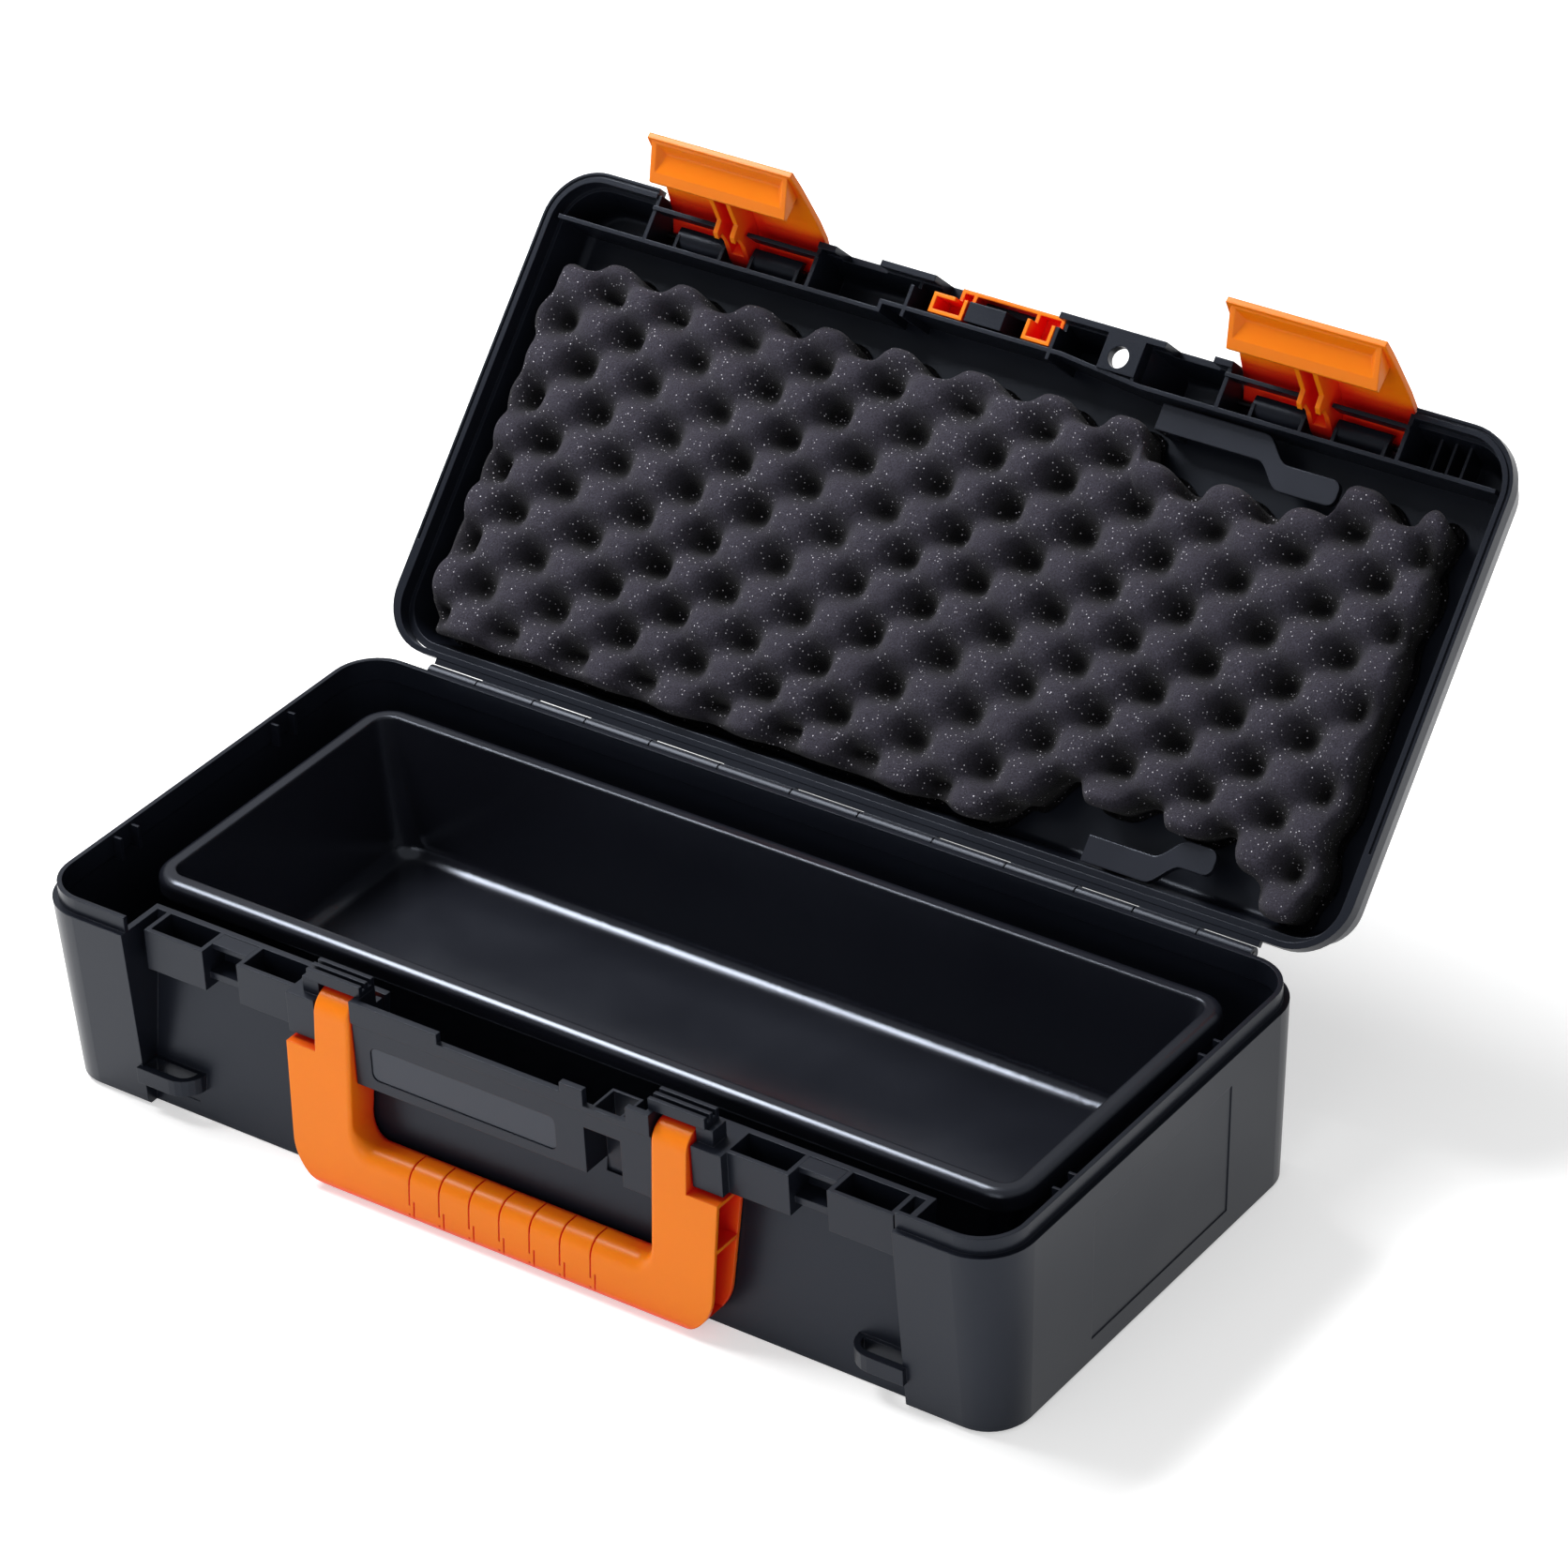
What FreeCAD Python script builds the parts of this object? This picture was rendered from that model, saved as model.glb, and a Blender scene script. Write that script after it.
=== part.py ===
import FreeCAD, Part
import math
import os
import Sketcher

Vector = FreeCAD.Vector

# Driving sizes, in millimetres and degrees
SIZES = {
    # base moulding
    "base_length": 450.0,
    "base_depth": 208.0,
    "ledge_height": 81.4,
    "base_wall": 2.7,
    "base_floor": 3.0,
    "side_draft": 4.2,
    "corner_radius": 21.7,
    "foot_bevel": 1.4,
    "lip_height": 6.8,
    "lip_inset": 2.4,
    "lip_wall": 2.0,
    "lip_root": 3.0,
    # centre boss with the apron and the bare nameplate
    "apron_step": 0.9,
    "notch_depth": 4.2,
    "plate_sink": 0.7,
    "plate_corner": 3.0,
    # padlock channel and tab
    "lock_hole": 4.5,
    "channel_half": 5.8,
    "channel_wall": 1.2,
    "slot_left": 10.9,
    "tab_thickness": 4.3,
    "tab_recess_half": 7.8,
    "well_flare": 15.0,
    # open-topped sockets under the latches
    "socket_wall": 2.0,
    "keeper_depth": 7.6,
    "keeper_thickness": 2.3,
    "keeper_bar": 3.0,
    # corner strap eyes
    "eye_length": 25.0,
    "eye_bend": 10.5,
    "eye_bottom": 12.0,
    "eye_thickness": 7.0,
    "eye_band": 3.2,
    # shallow panels on the two ends, small guide ribs and floor ribs
    "end_panel_low": 11.0,
    "end_panel_sink": 0.4,
    "guide_rib": 1.2,
    "guide_rib_reach": 4.0,
    "guide_rib_drop": 11.0,
    "guide_rib_gap": 10.4,
    "floor_rib": 2.2,
    # lid moulding, drawn closed
    "lid_gap": 0.3,
    "lid_height": 27.6,
    "lid_wall": 2.4,
    "lid_draft": 5.5,
    "lid_edge": 6.0,
    "lid_over_side": 2.0,
    "lid_over_front": 2.1,
    "lid_over_back": 0.3,
    "flange_height": 5.8,
    "flange_step": 1.9,
    "rim_line": 1.0,
    "rim_line_depth": 0.7,
    "rail_wall": 1.8,
    "rail_rise": 0.9,
    "rib_wall": 1.6,
    "lid_rib": 1.8,
    "corner_rib": 1.2,
    "corner_rib_first": 8.0,
    "corner_rib_pitch": 6.4,
    "corner_rib_height": 13.0,
    # latch
    "latch_released": 14.0,
    "latch_pin": 1.5,
    "latch_ear": 3.9,
    "latch_ear_width": 7.0,
    "latch_ear_offset": 17.5,
    "latch_taper": 3.0,
    "latch_wall": 2.4,
    "latch_bulge": 17.8,
    "latch_length": 52.9,
    "latch_web": 10.4,
    "web_rib": 2.2,
    "barrel_radius": 7.4,
    "barrel_lift": 2.4,
    "barrel_wall": 2.1,
    "barrel_gap": 6.5,
    "barrel_length": 24.0,
    "pocket_inset": 2.4,
    "pocket_wall": 1.6,
    "pocket_reach": 14.0,
    "pocket_rise": 4.8,
    "pocket_depth": 2.9,
    "pocket_rim": 0.6,
    "pocket_mitre": 5.0,
    # hinge
    "knuckle_radius": 3.0,
    "hinge_pin": 1.25,
    "running_clearance": 0.05,
    "hinge_end": 29.0,
    "hinge_gap": 0.5,
    "leaf": 2.3,
    "lid_open": 133.0,
    # handle
    "handle_head": 9.1,
    "handle_bottom": 0.9,
    "grip_top": 24.5,
    "grip_fillet": 9.0,
    "handle_corner": 20.0,
    "handle_heel": 4.5,
    "handle_pin": 2.5,
    "handle_skin": 1.6,
    "handle_hollow": 20.0,
    "handle_hollow_low": 9.0,
    "handle_hollow_web": 40.0,
    "handle_overlap": 1.2,
    "handle_round_front": 7.0,
    "handle_round_back": 4.0,
    "handle_round_arm": 1.6,
    "handle_taper": 3.0,
    "groove_band": 0.35,
    "groove_depth": 0.5,
    "groove_shift": 2.2,
    "groove_dash": 8.5,
    "groove_pitch": 14.2,
    # cover over each handle arm
    "cap_height": 2.2,
    "cap_ridge": 2.6,
    # lock slide
    "slide_travel": 9.4,
    "slide_wall": 1.6,
    # tray
    "tray_floor": 18.0,
    "tray_wall": 1.5,
    "tray_rim": 7.0,
    "tray_rim_drop": 8.0,
    "tray_rim_radius": 3.4,
    "tray_corner": 14.0,
    "tray_end_draft": 10.5,
    "tray_side_draft": 5.0,
    "tray_fillet": 8.0,
    # foam pad in the lid
    "foam_corner": 14.0,
    "foam_taper": 6.0,
    "foam_pitch_along": 35.3,
    "foam_pitch_across": 32.6,
    "foam_first_pit_x": 5.7,
    "foam_first_pit_y": 24.4,
    "pit_radius": 11.6,
    "pit_depth": 11.0,
    "soft_gap": 0.3,
    # tool clips in the lid
    "clip_thickness": 3.2,
    "clip_width": 10.6,
    "clip_bend": 9.6,
    "clip_bend_length": 13.0,
    "clip_foot": 7.0,
    "clip_tip_round": 4.0,
    "clip_foot_inset": 6.6,
    # cut-outs of the foam round the clips, sloped at both ends
    "front_cut_slope": 6.0,
    "rear_cut_slope": 22.0,
    # bare insert on the apron
    "insert_gap": 0.2,
    "insert_thickness": 0.3,
    # small clearances
    "clearance": 0.4,
    "overrun": 6.0,
}

# Places in from the base's front face, or as far in from its back face
INSETS = {
    "panel_top": 22.0,
    "panel_foot": 9.0,
    "boss_front": 3.5,
    "lock_y": 11.5,
    "tab_front": 2.6,
    "tab_back": 16.0,
    "socket_front": 8.0,
    "pillar_front": 4.2,
    "front_face": 0.5,
    "rail_front": 19.2,
    "rail_centre": 15.5,
    "rim_bar_front": 5.1,
    "rim_bar_back": 6.8,
    "latch_pivot_y": 12.5,
    "handle_pivot_y": 11.7,
    "handle_front_foot": -4.3,
    "handle_back_foot": 8.4,
    "cap_front": 7.2,
    "cap_back": 16.2,
    "slide_back": 15.0,
    "slide_face": 1.4,
    "tray_front": 42.0,
    "tray_back": 17.5,
    "foam_front": 32.0,
    "foam_back": 8.0,
    "front_clip_y": 22.2,
    "rear_clip_y": 7.2,
    "front_cut_y": 45.6,
    "rear_cut_y": 28.4,
    "eye_front": 1.0,
    "eye_back": 12.5,
    "eye_hole_back": 10.2,
    "end_panel_front": 61.0,
    "end_panel_back": 55.0,
    "guide_rib_back": 55.0,
    "guide_rib_front": 46.0,
    "hinge_y": -6.2,
}

# Places in from the right end, or as far in from the left end
END_INSETS = {
    "tray_half": 21.5,
    "foam_left": 6.6,
    "foam_right": 17.0,
    "front_clip_root": 154.8,
    "front_clip_bend": 108.0,
    "front_clip_tip": 70.4,
    "rear_clip_root": 117.4,
    "rear_clip_bend": 89.0,
    "rear_clip_tip": 63.0,
    "front_cut_left": 156.0,
    "front_cut_right": 64.5,
    "rear_cut_left": 157.0,
    "rear_cut_right": 39.0,
}

# Heights above the ledge that the shut lid meets
RISES = {
    "boss_bottom": -31,
    "apron_top": -2.8,
    "plate_bottom": -26.4,
    "plate_top": -11.4,
    "channel_slot_top": -10.4,
    "socket_bottom": -17.9,
    "keeper_bar_height": -10.9,
    "end_panel_high": -12.4,
    "rim_bar_top": 8.6,
    "bay_top": 25.2,
    "notch_top": 13.6,
    "latch_pivot_z": 16.6,
    "handle_pivot_z": -5.0,
    "handle_step": -20.5,
    "slide_top": 15.6,
    "tray_top": -4.0,
    "foam_crest": 2.2,
    "foam_valley": 16.6,
    "clip_low": 9.6,
    "hinge_z": -0.1,
}

# Places out from the middle, as shares of the half length
LENGTH_SHARES = {
    "block_inner": 0.79333,
    "boss_half": 0.30889,
    "notch_left": 0.12444,
    "notch_right": 0.12889,
    "plate_left": 0.27467,
    "plate_right": 0.11022,
    "lock_x": 0.21867,
    "outer_socket_in": 0.64444,
    "outer_socket_out": 0.77244,
    "inner_socket_in": 0.44000,
    "inner_socket_out": 0.56978,
    "pillar_in": 0.38933,
    "rail_jog_out": 0.27556,
    "rail_jog_in": 0.10667,
    "bay_in": 0.42489,
    "bay_out": 0.79022,
    "web_gap_in": 0.58089,
    "web_gap_out": 0.63867,
    "notch_in": 0.29778,
    "notch_out": 0.39556,
    "latch_inner": 0.43511,
    "latch_outer": 0.78000,
    "arm_in": 0.31200,
    "arm_out": 0.38400,
    "handle_out": 0.44600,
    "cap_in": 0.29733,
    "cap_out": 0.40978,
    "slide_left": 0.17511,
    "slide_right": 0.07822,
    "slide_inner_left": 0.10489,
    "slide_inner_right": 0.02044,
    "slide_front_left": 0.13778,
    "guide_left": 0.10000,
    "guide_right": 0.02400,
    "floor_rib_span": 0.53333,
}


class Size:
    """A number together with the sheet expression that gives it."""

    def __init__(self, text, value):
        self.text = text
        self.value = float(value)

    def __add__(self, other):
        return Size("(%s + %s)" % (self.text, text_of(other)), self.value + value_of(other))

    def __radd__(self, other):
        return Size("(%s + %s)" % (text_of(other), self.text), value_of(other) + self.value)

    def __sub__(self, other):
        return Size("(%s - %s)" % (self.text, text_of(other)), self.value - value_of(other))

    def __rsub__(self, other):
        return Size("(%s - %s)" % (text_of(other), self.text), value_of(other) - self.value)

    def __mul__(self, other):
        return Size("(%s * %s)" % (self.text, text_of(other)), self.value * value_of(other))

    def __rmul__(self, other):
        return self * other

    def __truediv__(self, other):
        return Size("(%s / %s)" % (self.text, text_of(other)), self.value / value_of(other))

    def __neg__(self):
        return Size("(0 - %s)" % self.text, -self.value)


def text_of(size):
    return size.text if isinstance(size, Size) else repr(float(size))


def value_of(size):
    return size.value if isinstance(size, Size) else float(size)


doc = FreeCAD.newDocument("tool_case")
sheet = doc.addObject("Spreadsheet::Sheet", "Sizes")


class Named:
    """The sheet's cells as attributes."""


d = Named()
cells = list(SIZES.items())
for group, ending in ((INSETS, "_inset"), (END_INSETS, "_inset"), (RISES, "_rise"), (LENGTH_SHARES, "_share")):
    cells += [(name + ending, number) for name, number in group.items()]
for row, (alias, number) in enumerate(cells, 1):
    sheet.set("A%d" % row, alias)
    sheet.set("B%d" % row, str(number))
    sheet.setAlias("B%d" % row, alias)
    setattr(d, alias, Size("Sizes." + alias, number))
doc.recompute()

half_length = d.base_length / 2
half_depth = d.base_depth / 2
for name in INSETS:
    setattr(d, name, half_depth - getattr(d, name + "_inset"))
for name in END_INSETS:
    setattr(d, name, half_length - getattr(d, name + "_inset"))
for name in RISES:
    setattr(d, name, d.ledge_height + getattr(d, name + "_rise"))
for name in LENGTH_SHARES:
    setattr(d, name, half_length * getattr(d, name + "_share"))

# Directions of a flat outline's first axis, second axis and normal, for each way it can face
FACING = {
    "X": FreeCAD.Rotation(Vector(0, 1, 0), Vector(0, 0, 1), Vector(1, 0, 0), "XYZ"),
    "Y": FreeCAD.Rotation(Vector(0, 0, 1), Vector(1, 0, 0), Vector(0, 1, 0), "XYZ"),
    "Z": FreeCAD.Rotation(),
}
nodes = []


def bind(thing, path, size):
    thing.setExpression(path, text_of(size))


def box(x, y, z):
    """A block between two values along each axis."""
    block = doc.addObject("Part::Box", "Block")
    for length, axis, (low, high) in (("Length", "x", x), ("Width", "y", y), ("Height", "z", z)):
        bind(block, length, high - low)
        bind(block, "Placement.Base." + axis, low)
    return block


def rod(y, z, radius, low, high):
    """A cylinder along X, centred on a point of the YZ plane."""
    bar = doc.addObject("Part::Cylinder", "Rod")
    bar.Placement = FreeCAD.Placement(Vector(), FACING["X"])
    bind(bar, "Radius", radius)
    bind(bar, "Height", high - low)
    for axis, place in (("x", low), ("y", y), ("z", z)):
        bind(bar, "Placement.Base." + axis, place)
    return bar


def post(x, y, radius, low, high):
    """A cylinder along Z, centred on a point of the XY plane."""
    bar = doc.addObject("Part::Cylinder", "Post")
    bind(bar, "Radius", radius)
    bind(bar, "Height", high - low)
    for axis, place in (("x", x), ("y", y), ("z", low)):
        bind(bar, "Placement.Base." + axis, place)
    return bar


def pin_point(sketch, edge, first, second):
    """Hold the start of an edge at two coordinates of the outline."""
    for kind, place in (("DistanceX", first), ("DistanceY", second)):
        if place is None:
            continue
        rule = Sketcher.Constraint(kind, -1, 1, edge, 1, value_of(place))
        bind(sketch, "Constraints[%d]" % sketch.addConstraint(rule), place)


def prism(facing, points, low, high):
    """A straight-sided outline drawn out along X, Y or Z."""
    sketch = doc.addObject("Sketcher::SketchObject", "Outline")
    corners = [Vector(value_of(a), value_of(b), 0) for a, b in points]
    count = len(corners)
    for i in range(count):
        sketch.addGeometry(Part.LineSegment(corners[i], corners[(i + 1) % count]), False)
    for i in range(count):
        sketch.addConstraint(Sketcher.Constraint("Coincident", i, 2, (i + 1) % count, 1))
    for i, (first, second) in enumerate(points):
        pin_point(sketch, i, first, second)
    sketch.Placement = FreeCAD.Placement(Vector(), FACING[facing])
    bind(sketch, "Placement.Base." + facing.lower(), low)
    solid = doc.addObject("Part::Extrusion", "Prism")
    solid.Base = sketch
    solid.DirMode = "Normal"
    solid.Solid = True
    bind(solid, "LengthFwd", high - low)
    return solid


def rounded_outline(x, y, z, radius):
    """A rectangle with four round corners, level at height z."""
    sketch = doc.addObject("Sketcher::SketchObject", "Outline")
    left, right, front, back = [value_of(v) for v in (*x, *y)]
    r = value_of(radius)
    sides = (((left + r, front), (right - r, front)), ((right, front + r), (right, back - r)),
             ((right - r, back), (left + r, back)), ((left, back - r), (left, front + r)))
    centres = ((right - r, front + r), (right - r, back - r), (left + r, back - r), (left + r, front + r))
    for start, end in sides:
        sketch.addGeometry(Part.LineSegment(Vector(*start, 0), Vector(*end, 0)), False)
    for i, centre in enumerate(centres):
        circle = Part.Circle(Vector(*centre, 0), Vector(0, 0, 1), r)
        turn = (i - 1) * math.pi / 2
        sketch.addGeometry(Part.ArcOfCircle(circle, turn, turn + math.pi / 2), False)
    for i in range(4):
        sketch.addConstraint(Sketcher.Constraint("Tangent", i, 2, 4 + i, 1))
        sketch.addConstraint(Sketcher.Constraint("Tangent", 4 + i, 2, (i + 1) % 4, 1))
        sketch.addConstraint(Sketcher.Constraint("Vertical" if i % 2 else "Horizontal", i))
    for i in range(1, 4):
        sketch.addConstraint(Sketcher.Constraint("Equal", 4, 4 + i))
    rule = Sketcher.Constraint("Radius", 4, r)
    bind(sketch, "Constraints[%d]" % sketch.addConstraint(rule), radius)
    pin_point(sketch, 3, x[0], None)
    pin_point(sketch, 1, x[1], None)
    pin_point(sketch, 0, None, y[0])
    pin_point(sketch, 2, None, y[1])
    bind(sketch, "Placement.Base.z", z)
    return sketch


def rounded_block(*levels):
    """A round-cornered block through outlines given from the bottom up as (x, y, radius, z)."""
    block = doc.addObject("Part::Loft", "RoundedBlock")
    block.Sections = [rounded_outline(x, y, z, radius) for x, y, radius, z in levels]
    block.Solid = True
    block.Ruled = True
    return block


def fuse(*parts):
    if len(parts) == 1:
        return parts[0]
    whole = doc.addObject("Part::MultiFuse", "Fusion")
    whole.Shapes = list(parts)
    return whole


def cut(whole, *tools):
    rest = doc.addObject("Part::Cut", "Cut")
    rest.Base = whole
    rest.Tool = fuse(*tools)
    return rest


def common(*parts):
    shared = doc.addObject("Part::MultiCommon", "Common")
    shared.Shapes = list(parts)
    return shared


def round_edges(solid, radius, chosen):
    """Round the edges for which chosen(edge) is true."""
    doc.recompute()
    picked = [i for i, edge in enumerate(solid.Shape.Edges, 1) if chosen(edge)]
    rounded = doc.addObject("Part::Fillet", "Rounded")
    rounded.Base = solid
    r = value_of(radius)
    rounded.Edges = [(i, r, r) for i in picked]
    return rounded


def level_at(z):
    """A test for edges that lie level at height z."""
    height = value_of(z)
    return lambda edge: max(abs(v.Z - height) for v in edge.Vertexes) < value_of(d.running_clearance)


def runs_along_y(edge):
    way = edge.tangentAt(edge.FirstParameter)
    return abs(way.y) > max(abs(way.x), abs(way.z))


def node(label, solid):
    """Name a finished sub-part."""
    solid.Label = label
    nodes.append(solid)
    return solid


def turned(solid, degrees, y, z):
    """Turn a finished sub-part about a line along X."""
    pivot = Vector(0, value_of(y), value_of(z))
    turn = FreeCAD.Rotation(Vector(1, 0, 0), degrees)
    solid.Placement = FreeCAD.Placement(pivot, turn) * FreeCAD.Placement(-pivot, FreeCAD.Rotation())
    return solid


def opened(solid):
    """Swing a sub-part of the closed lid to where the open lid rests."""
    return turned(solid, -value_of(d.lid_open), d.hinge_y, d.hinge_z)


def span(half):
    return (-half, half)


# Sizes worked out from the driving ones
lip_top = d.ledge_height + d.lip_height
hinge_length = d.base_length - d.hinge_end * 2
lid_low = d.ledge_height + d.lid_gap
lid_top = lid_low + d.lid_height
lid_ceiling = lid_top - d.lid_wall
KNUCKLE_SHARES = (0.0626, 0.0728, 0.0671, 0.0817, 0.0855, 0.0894, 0.0818,
                  0.0894, 0.0855, 0.0817, 0.0671, 0.0728, 0.0626)
LATCH_SHARES = ((1, 1), (0.961, 0.832), (0.888, 0.643), (0.803, 0.435), (0.691, 0.265), (0.539, 0.117))
TROUGH_SHARE = 0.62
BOW_STEPS = 8
ARC_STEPS = 6
EYE_SHARE = 1.5
DASH_SHARE = 0.75
TAPER_SHARE = 1.4
HOOK_SHARES = (0.7, 1.6)
ARM_SHARE = 1.6
HOLLOW_SHARE = 1.5
both_sides = (-1, 1)


def side_span(side, inner, outer):
    """A span along X on the left (-1) or right (1) half, from its inner to its outer value."""
    return (inner, outer) if side > 0 else (-outer, -inner)


def ring(outset, inset, low, high):
    """A round-cornered wall that follows the base outline, between two offsets from it."""
    def block(offset, z0, z1):
        outline = (span(half_length + offset), span(half_depth + offset), d.corner_radius + offset)
        return rounded_block((*outline, z0), (*outline, z1))
    return cut(block(outset, low, high), block(inset, low - d.overrun, high + d.overrun))


def panel_face(depth_behind, z):
    """The leaning front panel's Y at a height, plus a distance behind its face."""
    lean = (d.panel_foot - d.panel_top) / d.ledge_height
    return -d.panel_foot + lean * z + depth_behind


def knuckles(first, leaf_y, leaf_low, leaf_high):
    """Every second hinge knuckle from the first, each with the leaf that carries it."""
    parts = []
    for i in range(first, len(KNUCKLE_SHARES), 2):
        start = sum(KNUCKLE_SHARES[:i]) / sum(KNUCKLE_SHARES) - 0.5
        end = sum(KNUCKLE_SHARES[:i + 1]) / sum(KNUCKLE_SHARES) - 0.5
        low = hinge_length * start + d.hinge_gap / 2
        high = hinge_length * end - d.hinge_gap / 2
        parts.append(rod(d.hinge_y, d.hinge_z, d.knuckle_radius, low, high))
        parts.append(box((low, high), (leaf_y, d.hinge_y), (leaf_low, leaf_high)))
    return parts


def hinge_bore():
    reach = hinge_length / 2 + d.overrun
    return rod(d.hinge_y, d.hinge_z, d.hinge_pin + d.running_clearance, -reach, reach)


def base_outer():
    foot = d.side_draft + d.foot_bevel
    bevel_draft = d.side_draft * (1 - d.foot_bevel / d.ledge_height)
    levels = ((foot, 0 * d.foot_bevel), (bevel_draft, d.foot_bevel), (0 * foot, d.ledge_height))
    sections = []
    for inset, z in levels:
        sections.append((span(half_length - inset), span(half_depth - inset), d.corner_radius - inset, z))
    whole = rounded_block(*sections)
    top = d.ledge_height + d.overrun
    front = half_depth + d.overrun
    recess = prism("X", [(-front, -d.overrun), (panel_face(0, -d.overrun), -d.overrun),
                         (panel_face(0, top), top), (-front, top)], *span(d.block_inner))
    return cut(whole, recess)


def base_cavity():
    """The space inside the base: out to the corner blocks, and behind the leaning panel."""
    sections = []
    for inset, z in ((d.side_draft, d.base_floor), (0 * d.side_draft, d.ledge_height + d.overrun)):
        inset = inset + d.base_wall
        sections.append((span(half_length - inset), span(half_depth - inset), d.corner_radius - inset, z))
    space = rounded_block(*sections)
    top = d.ledge_height + d.overrun * 2
    behind = d.base_wall
    panel = prism("X", [(-half_depth - d.overrun, -d.overrun), (panel_face(behind, -d.overrun), -d.overrun),
                        (panel_face(behind, top), top), (-half_depth - d.overrun, top)],
                  *span(d.block_inner + d.base_wall))
    return cut(space, panel)


def lip():
    """The raised rim that the lid's groove takes, left out across the front recess."""
    rim = ring(-d.lip_inset, -d.lip_inset - d.lip_wall, d.ledge_height - d.lip_root, lip_top)
    gap = box(span(d.block_inner), (-half_depth - d.overrun, 0 * half_depth),
              (d.ledge_height - d.overrun, lip_top + d.overrun))
    return cut(rim, gap)


def boss_outer():
    block = box(span(d.boss_half), (-d.boss_front, panel_face(d.base_wall, d.boss_bottom)),
                (d.boss_bottom, lip_top))
    step = box(span(d.boss_half + d.overrun), (-d.boss_front - d.overrun, -d.boss_front + d.apron_step),
               (d.boss_bottom - d.overrun, d.apron_top))
    behind = box(span(d.boss_half + d.overrun), (-d.cap_back, 0 * d.cap_back),
                 (d.ledge_height, lip_top + d.overrun))
    return cut(block, step, behind)


def boss_cavity():
    low = d.boss_bottom + d.base_wall
    return box(span(d.boss_half - d.base_wall), (-d.boss_front + d.base_wall, -d.panel_top + d.overrun * 2),
               (low, lip_top + d.overrun))


def boss_cuts():
    """The low stretch of the rail, the bare sunk nameplate and the padlock channel with its slot."""
    rail = box((-d.notch_left, d.notch_right), (-d.boss_front - d.overrun, -d.boss_front + d.overrun),
               (lip_top - d.notch_depth, lip_top + d.overrun))
    face = -d.boss_front + d.apron_step
    plate = box((-d.plate_left, d.plate_right), (face - d.overrun, face + d.plate_sink),
                (d.plate_bottom, d.plate_top))
    plate = round_edges(plate, d.plate_corner, runs_along_y)
    hole = box((d.lock_x - d.channel_half, d.lock_x + d.channel_half),
               (-d.lock_y - d.channel_half, -d.lock_y + d.channel_half),
               (d.boss_bottom - d.overrun, lip_top + d.overrun))
    slot = box((d.lock_x - d.slot_left, d.lock_x + d.channel_half),
               (-d.boss_front - d.overrun, -d.lock_y + d.channel_half),
               (d.boss_bottom - d.overrun, d.channel_slot_top))
    reach = d.tab_recess_half + d.rib_wall + d.clearance
    seat = box((d.lock_x - reach, d.lock_x + reach), (-d.boss_front - d.overrun, -d.cap_back + d.overrun),
               (d.ledge_height, lip_top + d.overrun))
    return [rail, plate, hole, slot, seat]


def channel_walls():
    """The walls of the padlock channel, and those of the open recess below it."""
    reach = d.channel_half + d.channel_wall
    front = -d.boss_front + d.base_wall / 2
    channel = box((d.lock_x - reach, d.lock_x + reach), (front, -d.lock_y + reach),
                  (d.boss_bottom, d.ledge_height))
    recess = box((d.lock_x - d.slot_left - d.channel_wall, d.lock_x + reach),
                 (front, -d.lock_y + reach),
                 (d.boss_bottom, d.channel_slot_top + d.channel_wall))
    return [channel, recess]


def sockets(side):
    """The two open-topped sockets under one latch, the keeper between them and the arm's pillar."""
    back = -d.panel_top + d.base_wall / 2
    solid, hollow = [], []
    for inner, outer in ((d.inner_socket_in, d.inner_socket_out), (d.outer_socket_in, d.outer_socket_out)):
        solid.append(box(side_span(side, inner, outer), (-d.socket_front, back),
                         (d.socket_bottom, d.ledge_height)))
        hollow.append(box(side_span(side, inner + d.socket_wall, outer - d.socket_wall),
                          (-d.socket_front + d.socket_wall, -d.panel_top - d.running_clearance),
                          (d.socket_bottom + d.socket_wall, lip_top)))
    solid.append(box(side_span(side, d.pillar_in, d.inner_socket_in + d.socket_wall),
                     (-d.pillar_front, back), (d.socket_bottom, d.ledge_height)))
    solid.append(box(side_span(side, d.pillar_in, d.bay_in - d.clearance),
                     (-d.socket_front, -d.cap_back), (d.ledge_height - d.base_wall, lip_top)))
    gap = side_span(side, d.inner_socket_out - d.socket_wall / 2, d.outer_socket_in + d.socket_wall / 2)
    solid.append(box(gap, (-d.panel_top - d.keeper_depth - d.keeper_bar, back),
                     (d.keeper_bar_height - d.keeper_bar, d.keeper_bar_height)))
    return solid, hollow


def strap_eye(side):
    """The D-shaped eye in the corner between a block and the panel, and the hole through it."""
    def outline(band, root, back):
        tip = d.block_inner - d.eye_length + band
        front = d.eye_front - band
        bend = d.eye_bend - band * EYE_SHARE
        points = [(root, -back), (tip, -back)]
        for i in range(ARC_STEPS + 1):
            turn = math.pi / 2 * i / ARC_STEPS
            points.append((tip + bend * (1 - math.cos(turn)), -front + bend * (1 - math.sin(turn))))
        points.append((root, -front))
        return [(side * x, y) for x, y in points]
    low = d.eye_bottom
    high = low + d.eye_thickness
    body = outline(0 * d.eye_band, d.block_inner + d.base_wall / 2, d.eye_back)
    hole = outline(d.eye_band, d.block_inner - d.eye_band / 3, d.eye_hole_back)
    return prism("Z", body, low, high), prism("Z", hole, low - d.overrun, high + d.overrun)


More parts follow.
